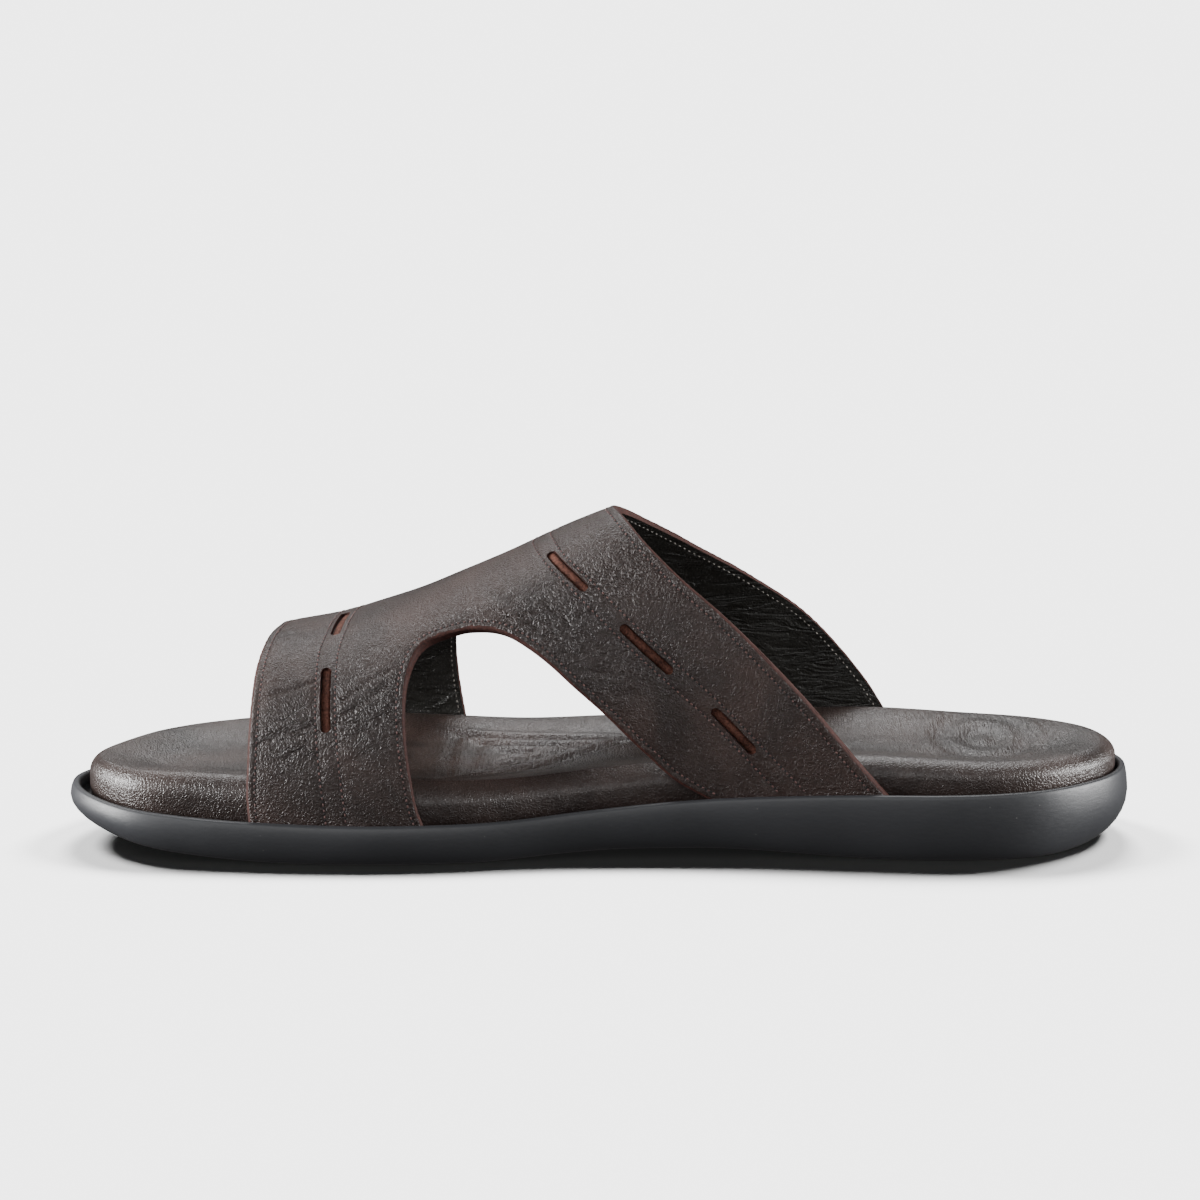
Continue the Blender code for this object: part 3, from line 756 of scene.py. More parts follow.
# %% The creases
# Each row: start x, start share around, end x, end share around, depth, half width, with lengths in mm
CREASES = (
    (-88.0, 0.262, -79.5, 0.268, 0.28, 1.0),
    (-80.5, 0.268, -74.5, 0.281, 0.26, 0.9),
    (-91.0, 0.170, -80.0, 0.196, 0.30, 1.1),
    (-82.0, 0.178, -75.0, 0.205, 0.24, 0.9),
    (-85.0, 0.140, -75.5, 0.172, 0.28, 1.0),
    (-69.0, 0.208, -61.0, 0.234, 0.34, 1.0),
    (-62.0, 0.230, -55.0, 0.262, 0.34, 1.0),
    (-68.5, 0.232, -59.5, 0.272, 0.26, 0.8),
    (-60.0, 0.268, -53.5, 0.285, 0.22, 0.8),
    (-66.0, 0.176, -58.0, 0.192, 0.22, 0.9),
    (-59.0, 0.190, -54.0, 0.222, 0.22, 0.9),
    (-67.0, 0.135, -59.0, 0.150, 0.16, 1.2),
    (-87.0, 0.470, -76.0, 0.480, 0.20, 1.4),
    (-86.0, 0.430, -75.0, 0.446, 0.18, 1.3),
    (-30.0, 0.352, -22.0, 0.318, 0.30, 1.3),
    (-27.0, 0.372, -17.0, 0.322, 0.26, 1.2),
    (-21.0, 0.330, -14.0, 0.282, 0.32, 1.2),
    (-15.0, 0.342, -8.0, 0.292, 0.24, 1.0),
    (-12.0, 0.262, -4.0, 0.248, 0.28, 1.1),
    (-6.0, 0.226, 4.0, 0.214, 0.24, 1.1),
    (2.0, 0.190, 12.0, 0.176, 0.20, 1.2),
    (6.0, 0.392, 12.0, 0.352, 0.24, 1.0),
    (2.0, 0.372, 10.0, 0.330, 0.22, 1.0),
    (14.0, 0.312, 22.0, 0.286, 0.18, 1.2),
)


def crease_points(row):
    """Points along a crease and along its twin on the far side, each with its depth and half width."""
    x0, a0, x1, a1, depth, width = row
    found = []
    for t in np.linspace(0, 1, 13):
        wave = 0.8 * noise.noise(Vector((x0 + 3 * t, 7 * a0, 9 * t)))
        x, a = (x0 + (x1 - x0) * t + wave) * mm, a0 + (a1 - a0) * t + 0.004 * wave
        for place in (section_point(x, a), section_point(x + CUTOUT_LATERAL_SHIFT * 0.9, 1 - a)):
            found.append((place, depth * mm * math.sin(math.pi * t) ** 0.5, width * mm))
    return found


# %% Troughs along the seams and the creases
def tree_of(points):
    """A search tree that finds the nearest of many points."""
    tree = kdtree.KDTree(len(points))
    for i, p in enumerate(points):
        tree.insert(Vector(p), i)
    tree.balance()
    return tree


seam_tree = tree_of([section_point(x, a) for line in SEAMS.values() for x, a in line])
creases = [point for row in CREASES for point in crease_points(row)]
crease_tree = tree_of([p for p, _, _ in creases])
print(len(creases), "crease points")

SEAM_DEPTH, SEAM_WIDTH = 0.22 * mm, 0.8 * mm
CREASE_REACH = 4 * mm
SLOW_DEPTH, SLOW_SIZE = 0.25 * mm, 16 * mm


def trough(p):
    """How far the leather sinks at a point of the middle of the wall."""
    near = seam_tree.find(Vector(p))[2]
    sunk = SEAM_DEPTH * math.exp(-((near / SEAM_WIDTH) ** 2))
    deepest = 0.0
    for _, i, away in crease_tree.find_range(Vector(p), CREASE_REACH):
        _, depth, width = creases[i]
        ridge = math.exp(-((away / width) ** 2)) - 0.35 * math.exp(-(((away - 2.2 * width) / width) ** 2))
        if abs(depth * ridge) > abs(deepest):
            deepest = depth * ridge
    return sunk + deepest - SLOW_DEPTH * noise.noise(Vector(p) / SLOW_SIZE)


# %% Where the leather flexes
# Each row: x in mm, share around, reach along x in mm, reach round the foot, strength
FLEX = (
    (-78.0, 0.19, 14.0, 0.075, 0.70),
    (-60.0, 0.22, 10.0, 0.075, 0.90),
    (-82.0, 0.46, 12.0, 0.080, 0.40),
    (-14.0, 0.31, 19.0, 0.085, 0.95),
    (6.0, 0.36, 16.0, 0.075, 0.85),
    (8.0, 0.22, 18.0, 0.070, 0.60),
    (-2.0, 0.45, 12.0, 0.055, 0.50),
)


FLEX_EVERYWHERE = 0.12


def flex_at(x, around):
    """How much the strap bends at a point, from 0 to 1."""
    most = FLEX_EVERYWHERE
    for fx, fa, rx, ra, strength in FLEX:
        for side, shift in ((around, 0.0), (1 - around, CUTOUT_LATERAL_SHIFT)):
            d = ((x - shift) / mm - fx) ** 2 / rx**2 + (side - fa) ** 2 / ra**2
            most = max(most, strength * math.exp(-d))
    return most


# %% [markdown]
# A grid's columns run round the foot. They crowd together where the leather turns over at a cut edge and
# dips at a seam, and spread out between, so fine detail costs few faces. Each row works out its own columns.

# %% Columns that close up along seams and cut edges
# Distances in mm from a cut edge, and either side of a seam
RIM = (0.0, 0.12, 0.35, 0.65, 1.0)
BESIDE = (-0.95, -0.5, 0.0, 0.5, 0.95)


def crossing(name, a, after=None):
    """x at which a seam crosses the share a: after tells the back side of a cut-out from its front side."""
    xs, shares = (np.array(v) for v in zip(*SEAMS[name]))
    if after is not None:
        tip = int(np.argmin(np.abs(shares - 0.5)))
        part = slice(tip, None) if after else slice(0, tip + 1)
        xs, shares = xs[part], shares[part]
    order = np.argsort(shares)
    return float(np.interp(a, shares[order], xs[order]))


def rim_columns(edge, seam, distance):
    """Columns from a cut edge to just past its seam, spaced in mm square to the edge."""
    per_mm = (seam - edge) / (distance / mm)
    if abs(per_mm) < mm:
        per_mm = mm if seam >= edge else -mm
    return [edge + per_mm * d for d in RIM + tuple(distance / mm + d for d in BESIDE)]


def band_columns(lace, seam):
    """Columns either side of a seam that runs beside a line of slots."""
    per_mm = abs(seam - lace) / (BAND_SEAM / mm)
    return [seam + per_mm * d for d in BESIDE]


def filled(left, right, count):
    """Two runs of columns with evenly spaced ones between them."""
    between = [left[-1] + (right[0] - left[-1]) * k / (count + 1) for k in range(1, count + 1)]
    return left + between + right


def front_columns(a):
    """The front strap's columns on the row at share a: front edge, slots' line, cut-out."""
    cutout = "medial_cutout" if a < 0.5 else "lateral_cutout"
    edge, lace, end = float(strap_x(a, 1)), float(strap_x(a, 2)), float(cutout_x(a, 1))
    run = rim_columns(edge, crossing("front_edge", a), EDGE_SEAM)
    run = filled(run, band_columns(lace, crossing("front_lace_before", a)), 8)
    run = filled(run, band_columns(lace, crossing("front_lace_behind", a)), 2)
    last = rim_columns(end, min(crossing(cutout, a, False), end - mm), CUTOUT_SEAM)
    return filled(run, last[::-1], 12)


def back_columns(a):
    """The back strap's columns on the row at share a: cut-out, slots' line, back edge."""
    cutout = "medial_cutout" if a < 0.5 else "lateral_cutout"
    start, lace, edge = float(cutout_x(a, 2)), float(strap_x(a, 3)), float(strap_x(a, 4))
    run = rim_columns(start, max(crossing(cutout, a, True), start + mm), CUTOUT_SEAM)
    run = filled(run, band_columns(lace, crossing("back_lace_before", a)), 16)
    run = filled(run, band_columns(lace, crossing("back_lace_behind", a)), 2)
    last = rim_columns(edge, crossing("back_edge", a), BACK_EDGE_SEAM)
    return filled(run, last[::-1], 12)


print(len(front_columns(0.2)), "columns over the front strap,", len(back_columns(0.2)), "over the back strap")


def plain_columns(knots, counts):
    """Evenly spaced columns between a few lines, for the lining, which has no troughs."""

    def run(a):
        xs = [float(k) for k in knots(a)]
        ways = zip(xs, xs[1:], counts)
        return [xs[0]] + [low + (high - low) * k / n for low, high, n in ways for k in range(1, n + 1)]

    return run


def layer_rows(cut_rows, bridge_rows):
    """Shares around of a grid's rows: they close up at the top of the cut-outs, where the edge turns."""
    rising = [CUTOUT_TOP * math.sin(math.pi / 2 * i / cut_rows) for i in range(cut_rows + 1)]
    steps = [i / bridge_rows for i in range(1, bridge_rows)]
    eased = [0.6 * t + 0.2 * (1 - math.cos(math.pi * t)) for t in steps]
    bridge = [CUTOUT_TOP + (1 - 2 * CUTOUT_TOP) * t for t in eased]
    return rising + bridge + [1 - a for a in reversed(rising)]


# %% The two grids of one layer
RIM_POINT_STEP = 0.3 * mm


def rim_points():
    """Closely spaced points along all the cut edges."""
    found = []
    for line in (front_edge, back_edge, cutout_line(False), cutout_line(True)):
        run = np.array([section_point(x, a) for x, a in line])
        far = np.concatenate([[0], np.cumsum(np.linalg.norm(np.diff(run, axis=0), axis=1))])
        at = np.arange(0, far[-1], RIM_POINT_STEP)
        found += list(np.column_stack([np.interp(at, far, run[:, k]) for k in range(3)]))
    return found


cut_edges = rim_points()
rim_tree = tree_of(cut_edges)
print(len(cut_edges), "points along the cut edges")


def upper_layer(rows, straps, creased):
    """Front and back grids on the last, welded over the instep, with the flex and rim attributes."""
    shape = bmesh.new()
    flex = shape.verts.layers.float.new("flex")
    rim = shape.verts.layers.float.new("rim")
    for columns in straps:
        lines = [columns(a) for a in rows]
        across, around = len(lines[0]) - 1, len(rows) - 1
        grid = bmesh.ops.create_grid(shape, x_segments=across, y_segments=around, size=0.5)["verts"]
        for vert in grid:
            column, row = round((vert.co.x + 0.5) * across), round((vert.co.y + 0.5) * around)
            x, a = lines[row][column], rows[row]
            middle = section_point(x, a)
            vert[flex] = flex_at(x, a)
            vert[rim] = rim_tree.find(Vector(middle))[2]
            vert.co = middle - wall_normal(x, a) * (trough(middle) if creased else 0)
    bmesh.ops.remove_doubles(shape, verts=shape.verts, dist=0.02 * mm)
    bmesh.ops.dissolve_degenerate(shape, edges=shape.edges, dist=0.01 * mm)
    bmesh.ops.recalc_face_normals(shape, faces=shape.faces)
    if sum(f.normal.z * f.calc_area() for f in shape.faces) < 0:
        bmesh.ops.reverse_faces(shape, faces=shape.faces)
    return shape


def values_of(mesh, name, kind="value", width=1):
    """A mesh attribute as an array, with one row for each point."""
    data = mesh.attributes[name].data
    found = np.empty(len(data) * width)
    data.foreach_get(kind, found)
    return found.reshape(-1, width) if width > 1 else found


# The leather's cut edges turn over with this radius; this near to them its face is the raw colour
ROLL = 1.15 * mm
RAW_BORDER = 0.75 * mm


def roll_rims(made, sheet):
    """Round the rims of a strap that has its thickness: sheet holds its points from before."""
    mesh = made.data
    points, n = values_of(mesh, "position", "vector", 3), len(sheet)
    near, far = (slice(0, n), slice(n, 2 * n))
    if np.abs(points[near] - sheet).max() > np.abs(points[far] - sheet).max():
        near, far = far, near
    away = np.clip(values_of(mesh, "rim")[far], 0, ROLL)
    drop = ROLL - np.sqrt(ROLL**2 - (ROLL - away) ** 2)
    out = points[far] - sheet
    points[far] -= out / np.linalg.norm(out, axis=1, keepdims=True) * drop[:, None]
    mesh.attributes["position"].data.foreach_set("vector", points.ravel())
    for face in mesh.polygons:
        outer_points = [v - far.start for v in face.vertices if far.start <= v < far.start + n]
        if len(outer_points) == len(face.vertices) and away[outer_points].mean() < RAW_BORDER:
            face.material_index = 1
    mesh.update()


def sheet_points(made):
    """The points of a sheet before it has its thickness."""
    return values_of(made.data, "position", "vector", 3).copy()


# %% The leather and the lining
outer = upper_layer(layer_rows(84, 70), (front_columns, back_columns), True)
leather = piece("strap_leather", outer, ["upper"], [STRAP_LEATHER, CUT_EDGE])
sheet = sheet_points(leather)
thick = leather.modifiers.new("thickness", "SOLIDIFY")
thick.thickness, thick.offset, thick.material_offset_rim = LAYER, 1.0, 1
settle(leather)
roll_rims(leather, sheet)

coarse = (
    plain_columns(lambda a: (strap_x(a, 1), strap_x(a, 2), cutout_x(a, 1)), (9, 10)),
    plain_columns(lambda a: (cutout_x(a, 2), strap_x(a, 3), strap_x(a, 4)), (16, 12)),
)
inner = upper_layer(layer_rows(40, 40), coarse, False)
lining = piece("strap_lining", inner, [], [LINING_LEATHER, CUT_EDGE])
thick = lining.modifiers.new("thickness", "SOLIDIFY")
thick.thickness, thick.offset, thick.material_offset_rim = LAYER, -1.0, 1
settle(lining)

# %% [markdown]
# ### Slots and the strips behind them
# A punch opens each slot: a long lozenge with round ends, swept along the slots' line. A Boolean modifier
# cuts with it, because a slot crosses the grid's rows at a slant. The strip that shows through runs in one
# length behind the slots, sunk below the leather so that the slot's rim shades it.

# %% A bar swept along a line of the upper
def ribbon(shape, line, halves, corners):
    """A bar swept along a line of the upper: its half widths, and its corners as (share of half, lift)."""
    rings = []
    points = [section_point(x, a) for x, a in line]
    for i, ((x, a), half) in enumerate(zip(line, halves)):
        along = points[min(i + 1, len(line) - 1)] - points[max(i - 1, 0)]
        normal = wall_normal(x, a)
        side = np.cross(normal, along)
        side *= half / np.linalg.norm(side)
        circle = bmesh.ops.create_circle(shape, segments=len(corners), radius=1.0)["verts"]
        for vert, (way, lift) in zip(circle, corners):
            vert.co = points[i] + side * way + normal * lift
        ring = [shape.edges.get((a, b)) for a, b in zip(circle, circle[1:] + circle[:1])]
        rings.append(ring)
    for a, b in zip(rings, rings[1:]):
        bmesh.ops.bridge_loops(shape, edges=a + b)
    for ring in (rings[0], rings[-1]):
        bmesh.ops.contextual_create(shape, geom=ring)
    bmesh.ops.recalc_face_normals(shape, faces=shape.faces)
    return rings


def slot_line(i, low, high):
    """The line of one slot and its half widths, round at both ends."""
    x, middle = strap_x((low + high) / 2, i), (low + high) / 2
    run = np.linalg.norm(section_point(x, high) - section_point(x, low))
    tip = (high - low) * SLOT_WIDTH / 2 / run
    ends = [(tip * (1 - math.cos(t)), math.sin(t)) for t in np.linspace(0.16, math.pi / 2, 6)]
    stations = [(low + d, w) for d, w in ends]
    stations += [(low + tip + (high - low - 2 * tip) * k / 8, 1.0) for k in range(1, 8)]
    stations += [(high - d, w) for d, w in reversed(ends)]
    return [(float(strap_x(a, i)), a) for a, _ in stations], [SLOT_WIDTH / 2 * w for _, w in stations]


# %% The slots
# The punch: its corners as (share of the half width, lift); its faces leave the raw colour, slot 1
PUNCH_SECTION = ((-1, -1.0 * mm), (1, -1.0 * mm), (1, 2.4 * mm), (-1, 2.4 * mm))
punch = bmesh.new()
for i, slots in ((2, FRONT_SLOTS), (3, BACK_SLOTS)):
    for low, high in slots:
        ribbon(punch, *slot_line(i, low, high), PUNCH_SECTION)
mesh = bpy.data.meshes.new("slot_punch")
punch.to_mesh(mesh)
punch.free()
for _ in range(2):
    mesh.materials.append(CUT_EDGE)
mesh.polygons.foreach_set("material_index", [1] * len(mesh.polygons))
slot_punch = bpy.data.objects.new("slot_punch", mesh)
bpy.context.scene.collection.objects.link(slot_punch)
opened = leather.modifiers.new("slots", "BOOLEAN")
opened.operation, opened.solver, opened.object = "DIFFERENCE", "EXACT", slot_punch
settle(leather)
bpy.data.objects.remove(slot_punch)

# %% The strips
# Flat below and crowned above
STRIP_HALF_WIDTH = 1.22 * mm
CROWN = ((1, 0.15), (0.85, 0.42), (0.4, 0.58), (-0.4, 0.58), (-0.85, 0.42), (-1, 0.15))
STRIP_SECTION = tuple((way, lift * mm) for way, lift in ((-1, -0.3), (1, -0.3), *CROWN))
for i, name in ((2, "front_lace_strip"), (3, "back_lace_strip")):
    shape = bmesh.new()
    line = edge_line(i, 0.03, 0.97, 120)
    ribbon(shape, line, [STRIP_HALF_WIDTH] * len(line), STRIP_SECTION)
    piece(name + "_cover", shape, [name], [STRIP_LEATHER])

# %% [markdown]
# ### Stitching
# A lockstitch shows as a row of short threads, each dipping into a needle hole at both ends. One thread is a
# small sphere drawn out lengthwise; copies of it follow every seam at the real pitch, inside the strap as
# well, where the thread is paler. The shade in the needle holes is painted: flat dark beads between the
# threads. An array along a curve would do the same, but it can't sink each stitch into its trough.

# %% Thread, and the stations of the stitches
PITCH = 1.62 * mm
THREAD_SPAN = 0.3 * mm
LINING_SEAM_SHIFT = 0.9 * mm


def thread_finish(name, dark, light):
    """Dull thread whose colour wanders from stitch to stitch."""
    finish = Finish(name, roughness=0.72)
    finish.base(finish.mix(finish.noise(1.7 * mm, detail=2.0).above(0.3, 0.7), dark, light))
    return finish.material


THREAD = thread_finish("brown_thread", (0.036, 0.0155, 0.0135), (0.105, 0.050, 0.044))
PALE_THREAD = thread_finish("pale_thread", (0.10, 0.09, 0.082), (0.24, 0.225, 0.205))
# The needle holes' shade is painted: a near-black colour on flat beads, not real holes in the leather
HOLE_SHADE = Finish("needle_hole_shade", roughness=0.9).material
HOLE_SHADE.node_tree.nodes["Principled BSDF"].inputs["Base Color"].default_value = (0.004, 0.003, 0.003, 1)


def paced(line, pitch, lift, start=0.5, sunk=True):
    """Stations along a seam at an even pitch: place on the leather, direction and outward normal."""
    run = np.array([section_point(x, a) for x, a in line])
    steps = np.linalg.norm(np.diff(run, axis=0), axis=1)
    far = np.concatenate([[0], np.cumsum(steps)])
    found = []
    for at in np.arange(pitch * start, far[-1], pitch):
        x = float(np.interp(at, far, [p[0] for p in line]))
        a = float(np.interp(at, far, [p[1] for p in line]))
        if not BASE < a < 1 - BASE:
            continue
        normal = wall_normal(x, a)
        ends = max(at - THREAD_SPAN, 0), min(at + THREAD_SPAN, far[-1])
        behind, ahead = (np.array([np.interp(end, far, run[:, k]) for k in range(3)]) for end in ends)
        along = ahead - behind
        along /= np.linalg.norm(along)
        middle = section_point(x, a)
        found.append((middle + normal * (lift - (trough(middle) if sunk else 0)), along, normal))
    return found


# %% Beads in their places
def beads(stations, length, width, height, u, v):
    """One small sphere, doubled until there is one for every station, then each drawn out in its place."""
    shape = bmesh.new()
    station = shape.verts.layers.int.new("station")
    bmesh.ops.create_uvsphere(shape, u_segments=u, v_segments=v, radius=1.0)
    copies = 1
    while copies < len(stations):
        whole = list(shape.verts) + list(shape.edges) + list(shape.faces)
        for vert in bmesh.ops.duplicate(shape, geom=whole)["geom"]:
            if isinstance(vert, bmesh.types.BMVert):
                vert[station] += copies
        copies *= 2
    bmesh.ops.delete(shape, geom=[v for v in shape.verts if v[station] >= len(stations)], context="VERTS")
    size = Matrix.Diagonal((length / 2, width / 2, height / 2, 1.0))
    places = []
    for place, along, normal in stations:
        turn = Matrix((along, np.cross(normal, along), normal)).transposed().to_4x4()
        places.append(Matrix.Translation(Vector(place)) @ turn @ size)
    for vert in shape.verts:
        vert.co = places[vert[station]] @ vert.co
    return shape


# %% Threads, and painted shade in the needle holes
outside, inside, hole_shades = [], [], []
for name, line in SEAMS.items():
    outside += paced(line, PITCH, LAYER + 0.02 * mm)
    hole_shades += paced(line, PITCH, LAYER, start=1.0)
    if "lace" not in name:
        closer = LINING_SEAM_SHIFT * (1 if name in ("front_edge", "lateral_cutout") else -1)
        inside += paced(line_beside(line, closer), PITCH, -LAYER, sunk=False)
threads = beads(outside, 0.90 * mm, 0.50 * mm, 0.46 * mm, 6, 5)
piece("strap_stitching", threads, [], [THREAD])
threads = beads(inside, 0.85 * mm, 0.42 * mm, 0.36 * mm, 6, 5)
piece("lining_stitching", threads, [], [PALE_THREAD])
print(len(outside), "stitches outside,", len(inside), "inside,", len(hole_shades), "needle holes")
piece("needle_hole_shades", beads(hole_shades, 0.72 * mm, 0.66 * mm, 0.20 * mm, 6, 4), [], [HOLE_SHADE])

# %% [markdown]
# ## The footbed
# The footbed is foam under a thin leather cover: its side rolls over at a rounded edge and its top is
# dished. Under the arch the cover is pressed with nested triangles and ridges that run along the sandal, and
# under the heel with rings. A fine grid takes the top's shape and that relief; its rim is then drawn out
# and down, ring by ring, into the side. A subdivided block could be sculpted instead, but the side has to
# stay parallel to the outline of the sole, and rings keep it so.

# %% Relief of the footbed's top
# In mm: the corners of the pressed triangle, the pitch of its ridges, and the middle and first oval of the
# heel's rings, whose pattern ends RINGS ovals out
TRIANGLE = ((1.5, 5.0), (-39.0, -25.5), (-37.0, 17.5))
WAVE = 6.6
HEEL_CENTRE = (103.7, -2.0)
HEEL_OVAL = (7.8, 11.0)
RINGS = 2.5
FLAT_RELIEF, RIDGE_RELIEF, RING_RELIEF, SOFT_RELIEF = 0.10, 0.95, 0.36, 0.16


def inside_triangle(x, y):
    """Distance in mm from the nearest side of the pressed triangle: negative outside it."""
    least = 99.0
    for (ax, ay), (bx, by) in zip(TRIANGLE, TRIANGLE[1:] + TRIANGLE[:1]):
        least = min(least, ((bx - ax) * (ay - y) - (ax - x) * (by - ay)) / math.hypot(bx - ax, by - ay))
    return least


print("triangle's own middle lies", round(inside_triangle(-25.0, -1.0), 1), "mm inside it")


def relief(x, y):
    """Height of the pressed pattern and soft folds in metres, and how strongly the cover is pressed."""
    u, v = x / mm, y / mm
    s = inside_triangle(u, v)
    shown = float(smoothstep(-8.5, -4.0, s))
    lengthwise = float(smoothstep(-2.0, 6.0, u - TRIANGLE[1][0] - s))
    height = (FLAT_RELIEF + RIDGE_RELIEF * lengthwise) * shown * math.cos(2 * math.pi * s / WAVE)
    rho = math.hypot((u - HEEL_CENTRE[0]) / HEEL_OVAL[0], (v - HEEL_CENTRE[1]) / HEEL_OVAL[1])
    if rho < RINGS:
        height += RING_RELIEF * math.cos(2 * math.pi * rho) * float(smoothstep(RINGS, RINGS - 0.5, rho))
    place = Vector((u / 30, v / 14, 0.0))
    height += SOFT_RELIEF * (noise.noise(place) + 0.5 * noise.noise(place * 2.7))
    return height * mm, max(shown, 0.4, 0.9 * float(smoothstep(3.2, 2.2, rho)))


def crest_edge(x):
    """How far the footbed's crest stands inside the outline of the sole."""
    return bed_inset(x) + crest_inset(x)


crest_line = inset_outline(EDGE_TURNS, crest_edge(outline(EDGE_TURNS)[:, 0]))
CREST_TREE = tree_of([(x, y, 0.0) for x, y in crest_line])


RELIEF_BORDER = 6 * mm


def top_z(x, y):
    """Height of the top, and how strongly the cover is pressed there."""
    depth = CREST_TREE.find(Vector((x, y, 0.0)))[2]
    height, pressed = relief(x, y)
    return float(bed_top(x, y, depth)) + height * float(smoothstep(0, RELIEF_BORDER, depth)), pressed


# %% The footbed's mesh
BED_ALONG, BED_ACROSS = 260, 84


def on_outline(turns, inset, height):
    """Points of the outline moved inwards, at a height: inset may be a size or a function of x."""
    turns = np.asarray(turns, float)
    moved = inset(outline(turns)[:, 0]) if callable(inset) else np.full(len(turns), inset)
    plan = inset_outline(turns, moved)
    z = np.broadcast_to(height(plan[:, 0], plan[:, 1]), len(turns))
    return np.column_stack([plan, z])


shape = bmesh.new()
turn_of = shape.verts.layers.float.new("turn")
pressed = shape.verts.layers.float.new("pressed")
grid = bmesh.ops.create_grid(shape, x_segments=BED_ALONG, y_segments=BED_ACROSS, size=0.5)["verts"]
rungs = np.linspace(0, math.pi, BED_ALONG + 1)
medial_ends, lateral_ends = (on_outline(t, crest_edge, crest_z) for t in (rungs, 2 * math.pi - rungs))
for vert in grid:
    i, k = round((vert.co.x + 0.5) * BED_ALONG), round((vert.co.y + 0.5) * BED_ACROSS)
    medial, lateral = medial_ends[i], lateral_ends[i]
    part = 0.25 - 0.25 * math.cos(math.pi * k / BED_ACROSS) + 0.5 * k / BED_ACROSS
    p = medial + (lateral - medial) * part
    if 0 < k < BED_ACROSS:
        p[2], vert[pressed] = top_z(p[0], p[1])
    vert.co = p
    turn = math.pi * i / BED_ALONG
    vert[turn_of] = turn if k <= BED_ACROSS / 2 else 2 * math.pi - turn
bmesh.ops.remove_doubles(shape, verts=shape.verts, dist=0.001 * mm)
bmesh.ops.recalc_face_normals(shape, faces=shape.faces)
print(len(shape.faces), "faces in the footbed's top")


def drawn_ring(shape, edges, inset, height):
    """Extrude a loop of edges and put each new point on the outline, inset and at a height."""
    grown = bmesh.ops.extrude_edge_only(shape, edges=edges)["geom"]
    verts = [g for g in grown if isinstance(g, bmesh.types.BMVert)]
    for vert, place in zip(verts, on_outline([v[turn_of] for v in verts], inset, height)):
        vert.co = place
    return [g for g in grown if isinstance(g, bmesh.types.BMEdge)]


# %% [markdown]
# The side is a quarter turn from the crest down to the rim. Its rings are given as degrees of that turn. The
# power `fold` makes the turn crisper beside the arch, where the cover is stretched over a sharper edge.

# %% The footbed's rolled side
BED_SHOULDER = 0.42


def fold(x):
    """How crisply the cover turns over its crest: most beside the arch."""
    return 1.25 + 0.75 * smoothstep(-62 * mm, -48 * mm, x) * smoothstep(30 * mm, 10 * mm, x)


edges = [e for e in shape.edges if e.is_boundary]
for degrees in (84, 76, 66, 55, 44, 33, 22, 11, 0):
    c, s = max(math.cos(math.radians(degrees)), 0), math.sin(math.radians(degrees))
    edges = drawn_ring(
        shape,
        edges,
        lambda x, c=c: bed_inset(x) + crest_inset(x) * (1 - c ** fold(x)),
        lambda x, y, s=s: rim_z(x) + (crest_z(x, y) - rim_z(x)) * (BED_SHOULDER + (1 - BED_SHOULDER) * s),
    )
edges = drawn_ring(shape, edges, bed_inset, rim_z)
# Two last rings tuck the side in under the foam: how far inwards, and how high over the cup's floor
for inwards, up in ((0.4 * mm, 1.5 * mm), (1.6 * mm, GAP)):
    edges = drawn_ring(
        shape, edges, lambda x, more=inwards: bed_inset(x) + more, lambda x, y, up=up: floor_z(x) + up
    )
bmesh.ops.contextual_create(shape, geom=edges)
bmesh.ops.triangulate(shape, faces=[f for f in shape.faces if len(f.verts) > 4])
bmesh.ops.recalc_face_normals(shape, faces=shape.faces)


# %% [markdown]
# The cover is thinner and glossier than the straps. Where it is pressed, fine wrinkles run across the
# sandal; the vertex attribute `pressed` says how strongly, and elsewhere the leather lies nearly smooth.

# %% The footbed's cover
def bed_leather():
    finish = Finish("footbed_leather", roughness=0.36, Specular_IOR_Level=0.68)
    cloud = finish.noise(18 * mm, detail=4.0, warp=0.4)
    fine = finish.noise(0.8 * mm, detail=3.0, roughness=0.7)
    pulled = finish.noise(0.85 * mm, detail=2.0, stretch=(1.0, 4.5, 4.5), warp=0.3)
    slack = finish.noise(4.5 * mm, detail=3.0, stretch=(1.6, 1.0, 1.0), warp=0.9)
    grain = finish.cells(0.8 * mm, offset=finish.colour_noise(1.6 * mm, 1.0 * mm))
    pressed = finish.attribute("pressed") * 0.9 + 0.1
    finish.base(finish.mix(cloud.above(0.25, 0.75), (0.0125, 0.0078, 0.0066), (0.033, 0.0207, 0.0172)))
    finish.feed("Roughness", cloud * 0.16 + fine * 0.14 + 0.22)
    finish.bumps(
        (slack * pressed, 0.40, 0.40 * mm),
        (pulled * pressed, 0.90, 0.55 * mm),
        (grain.above(0.0, 0.28), 0.60, 0.11 * mm),
        (fine, 0.60, 0.17 * mm),
    )
    return finish.material


BED_LEATHER = bed_leather()
bed = piece("footbed_cover", shape, ["footbed"], [BED_LEATHER])

# %% [markdown]
# ## The sole
# The sole is moulded in one piece: a cup whose thin rim stands round the footbed, and a wall that bulges and
# then rounds under like a boat's hull. A ring of points is laid on the outline and drawn upwards and
# inwards, ring by ring; the underside and the cup's floor close it. A curve's bevel could sweep such a wall,
# but its section changes from toe to heel.

# %% The sole's mesh
SOLE_POINTS = 300
WIDEST = 0.62


def widest_z(x, y=0.0):
    """Height at which the sole's wall bulges most."""
    return bottom_z(x) + (rim_z(x) - bottom_z(x)) * WIDEST


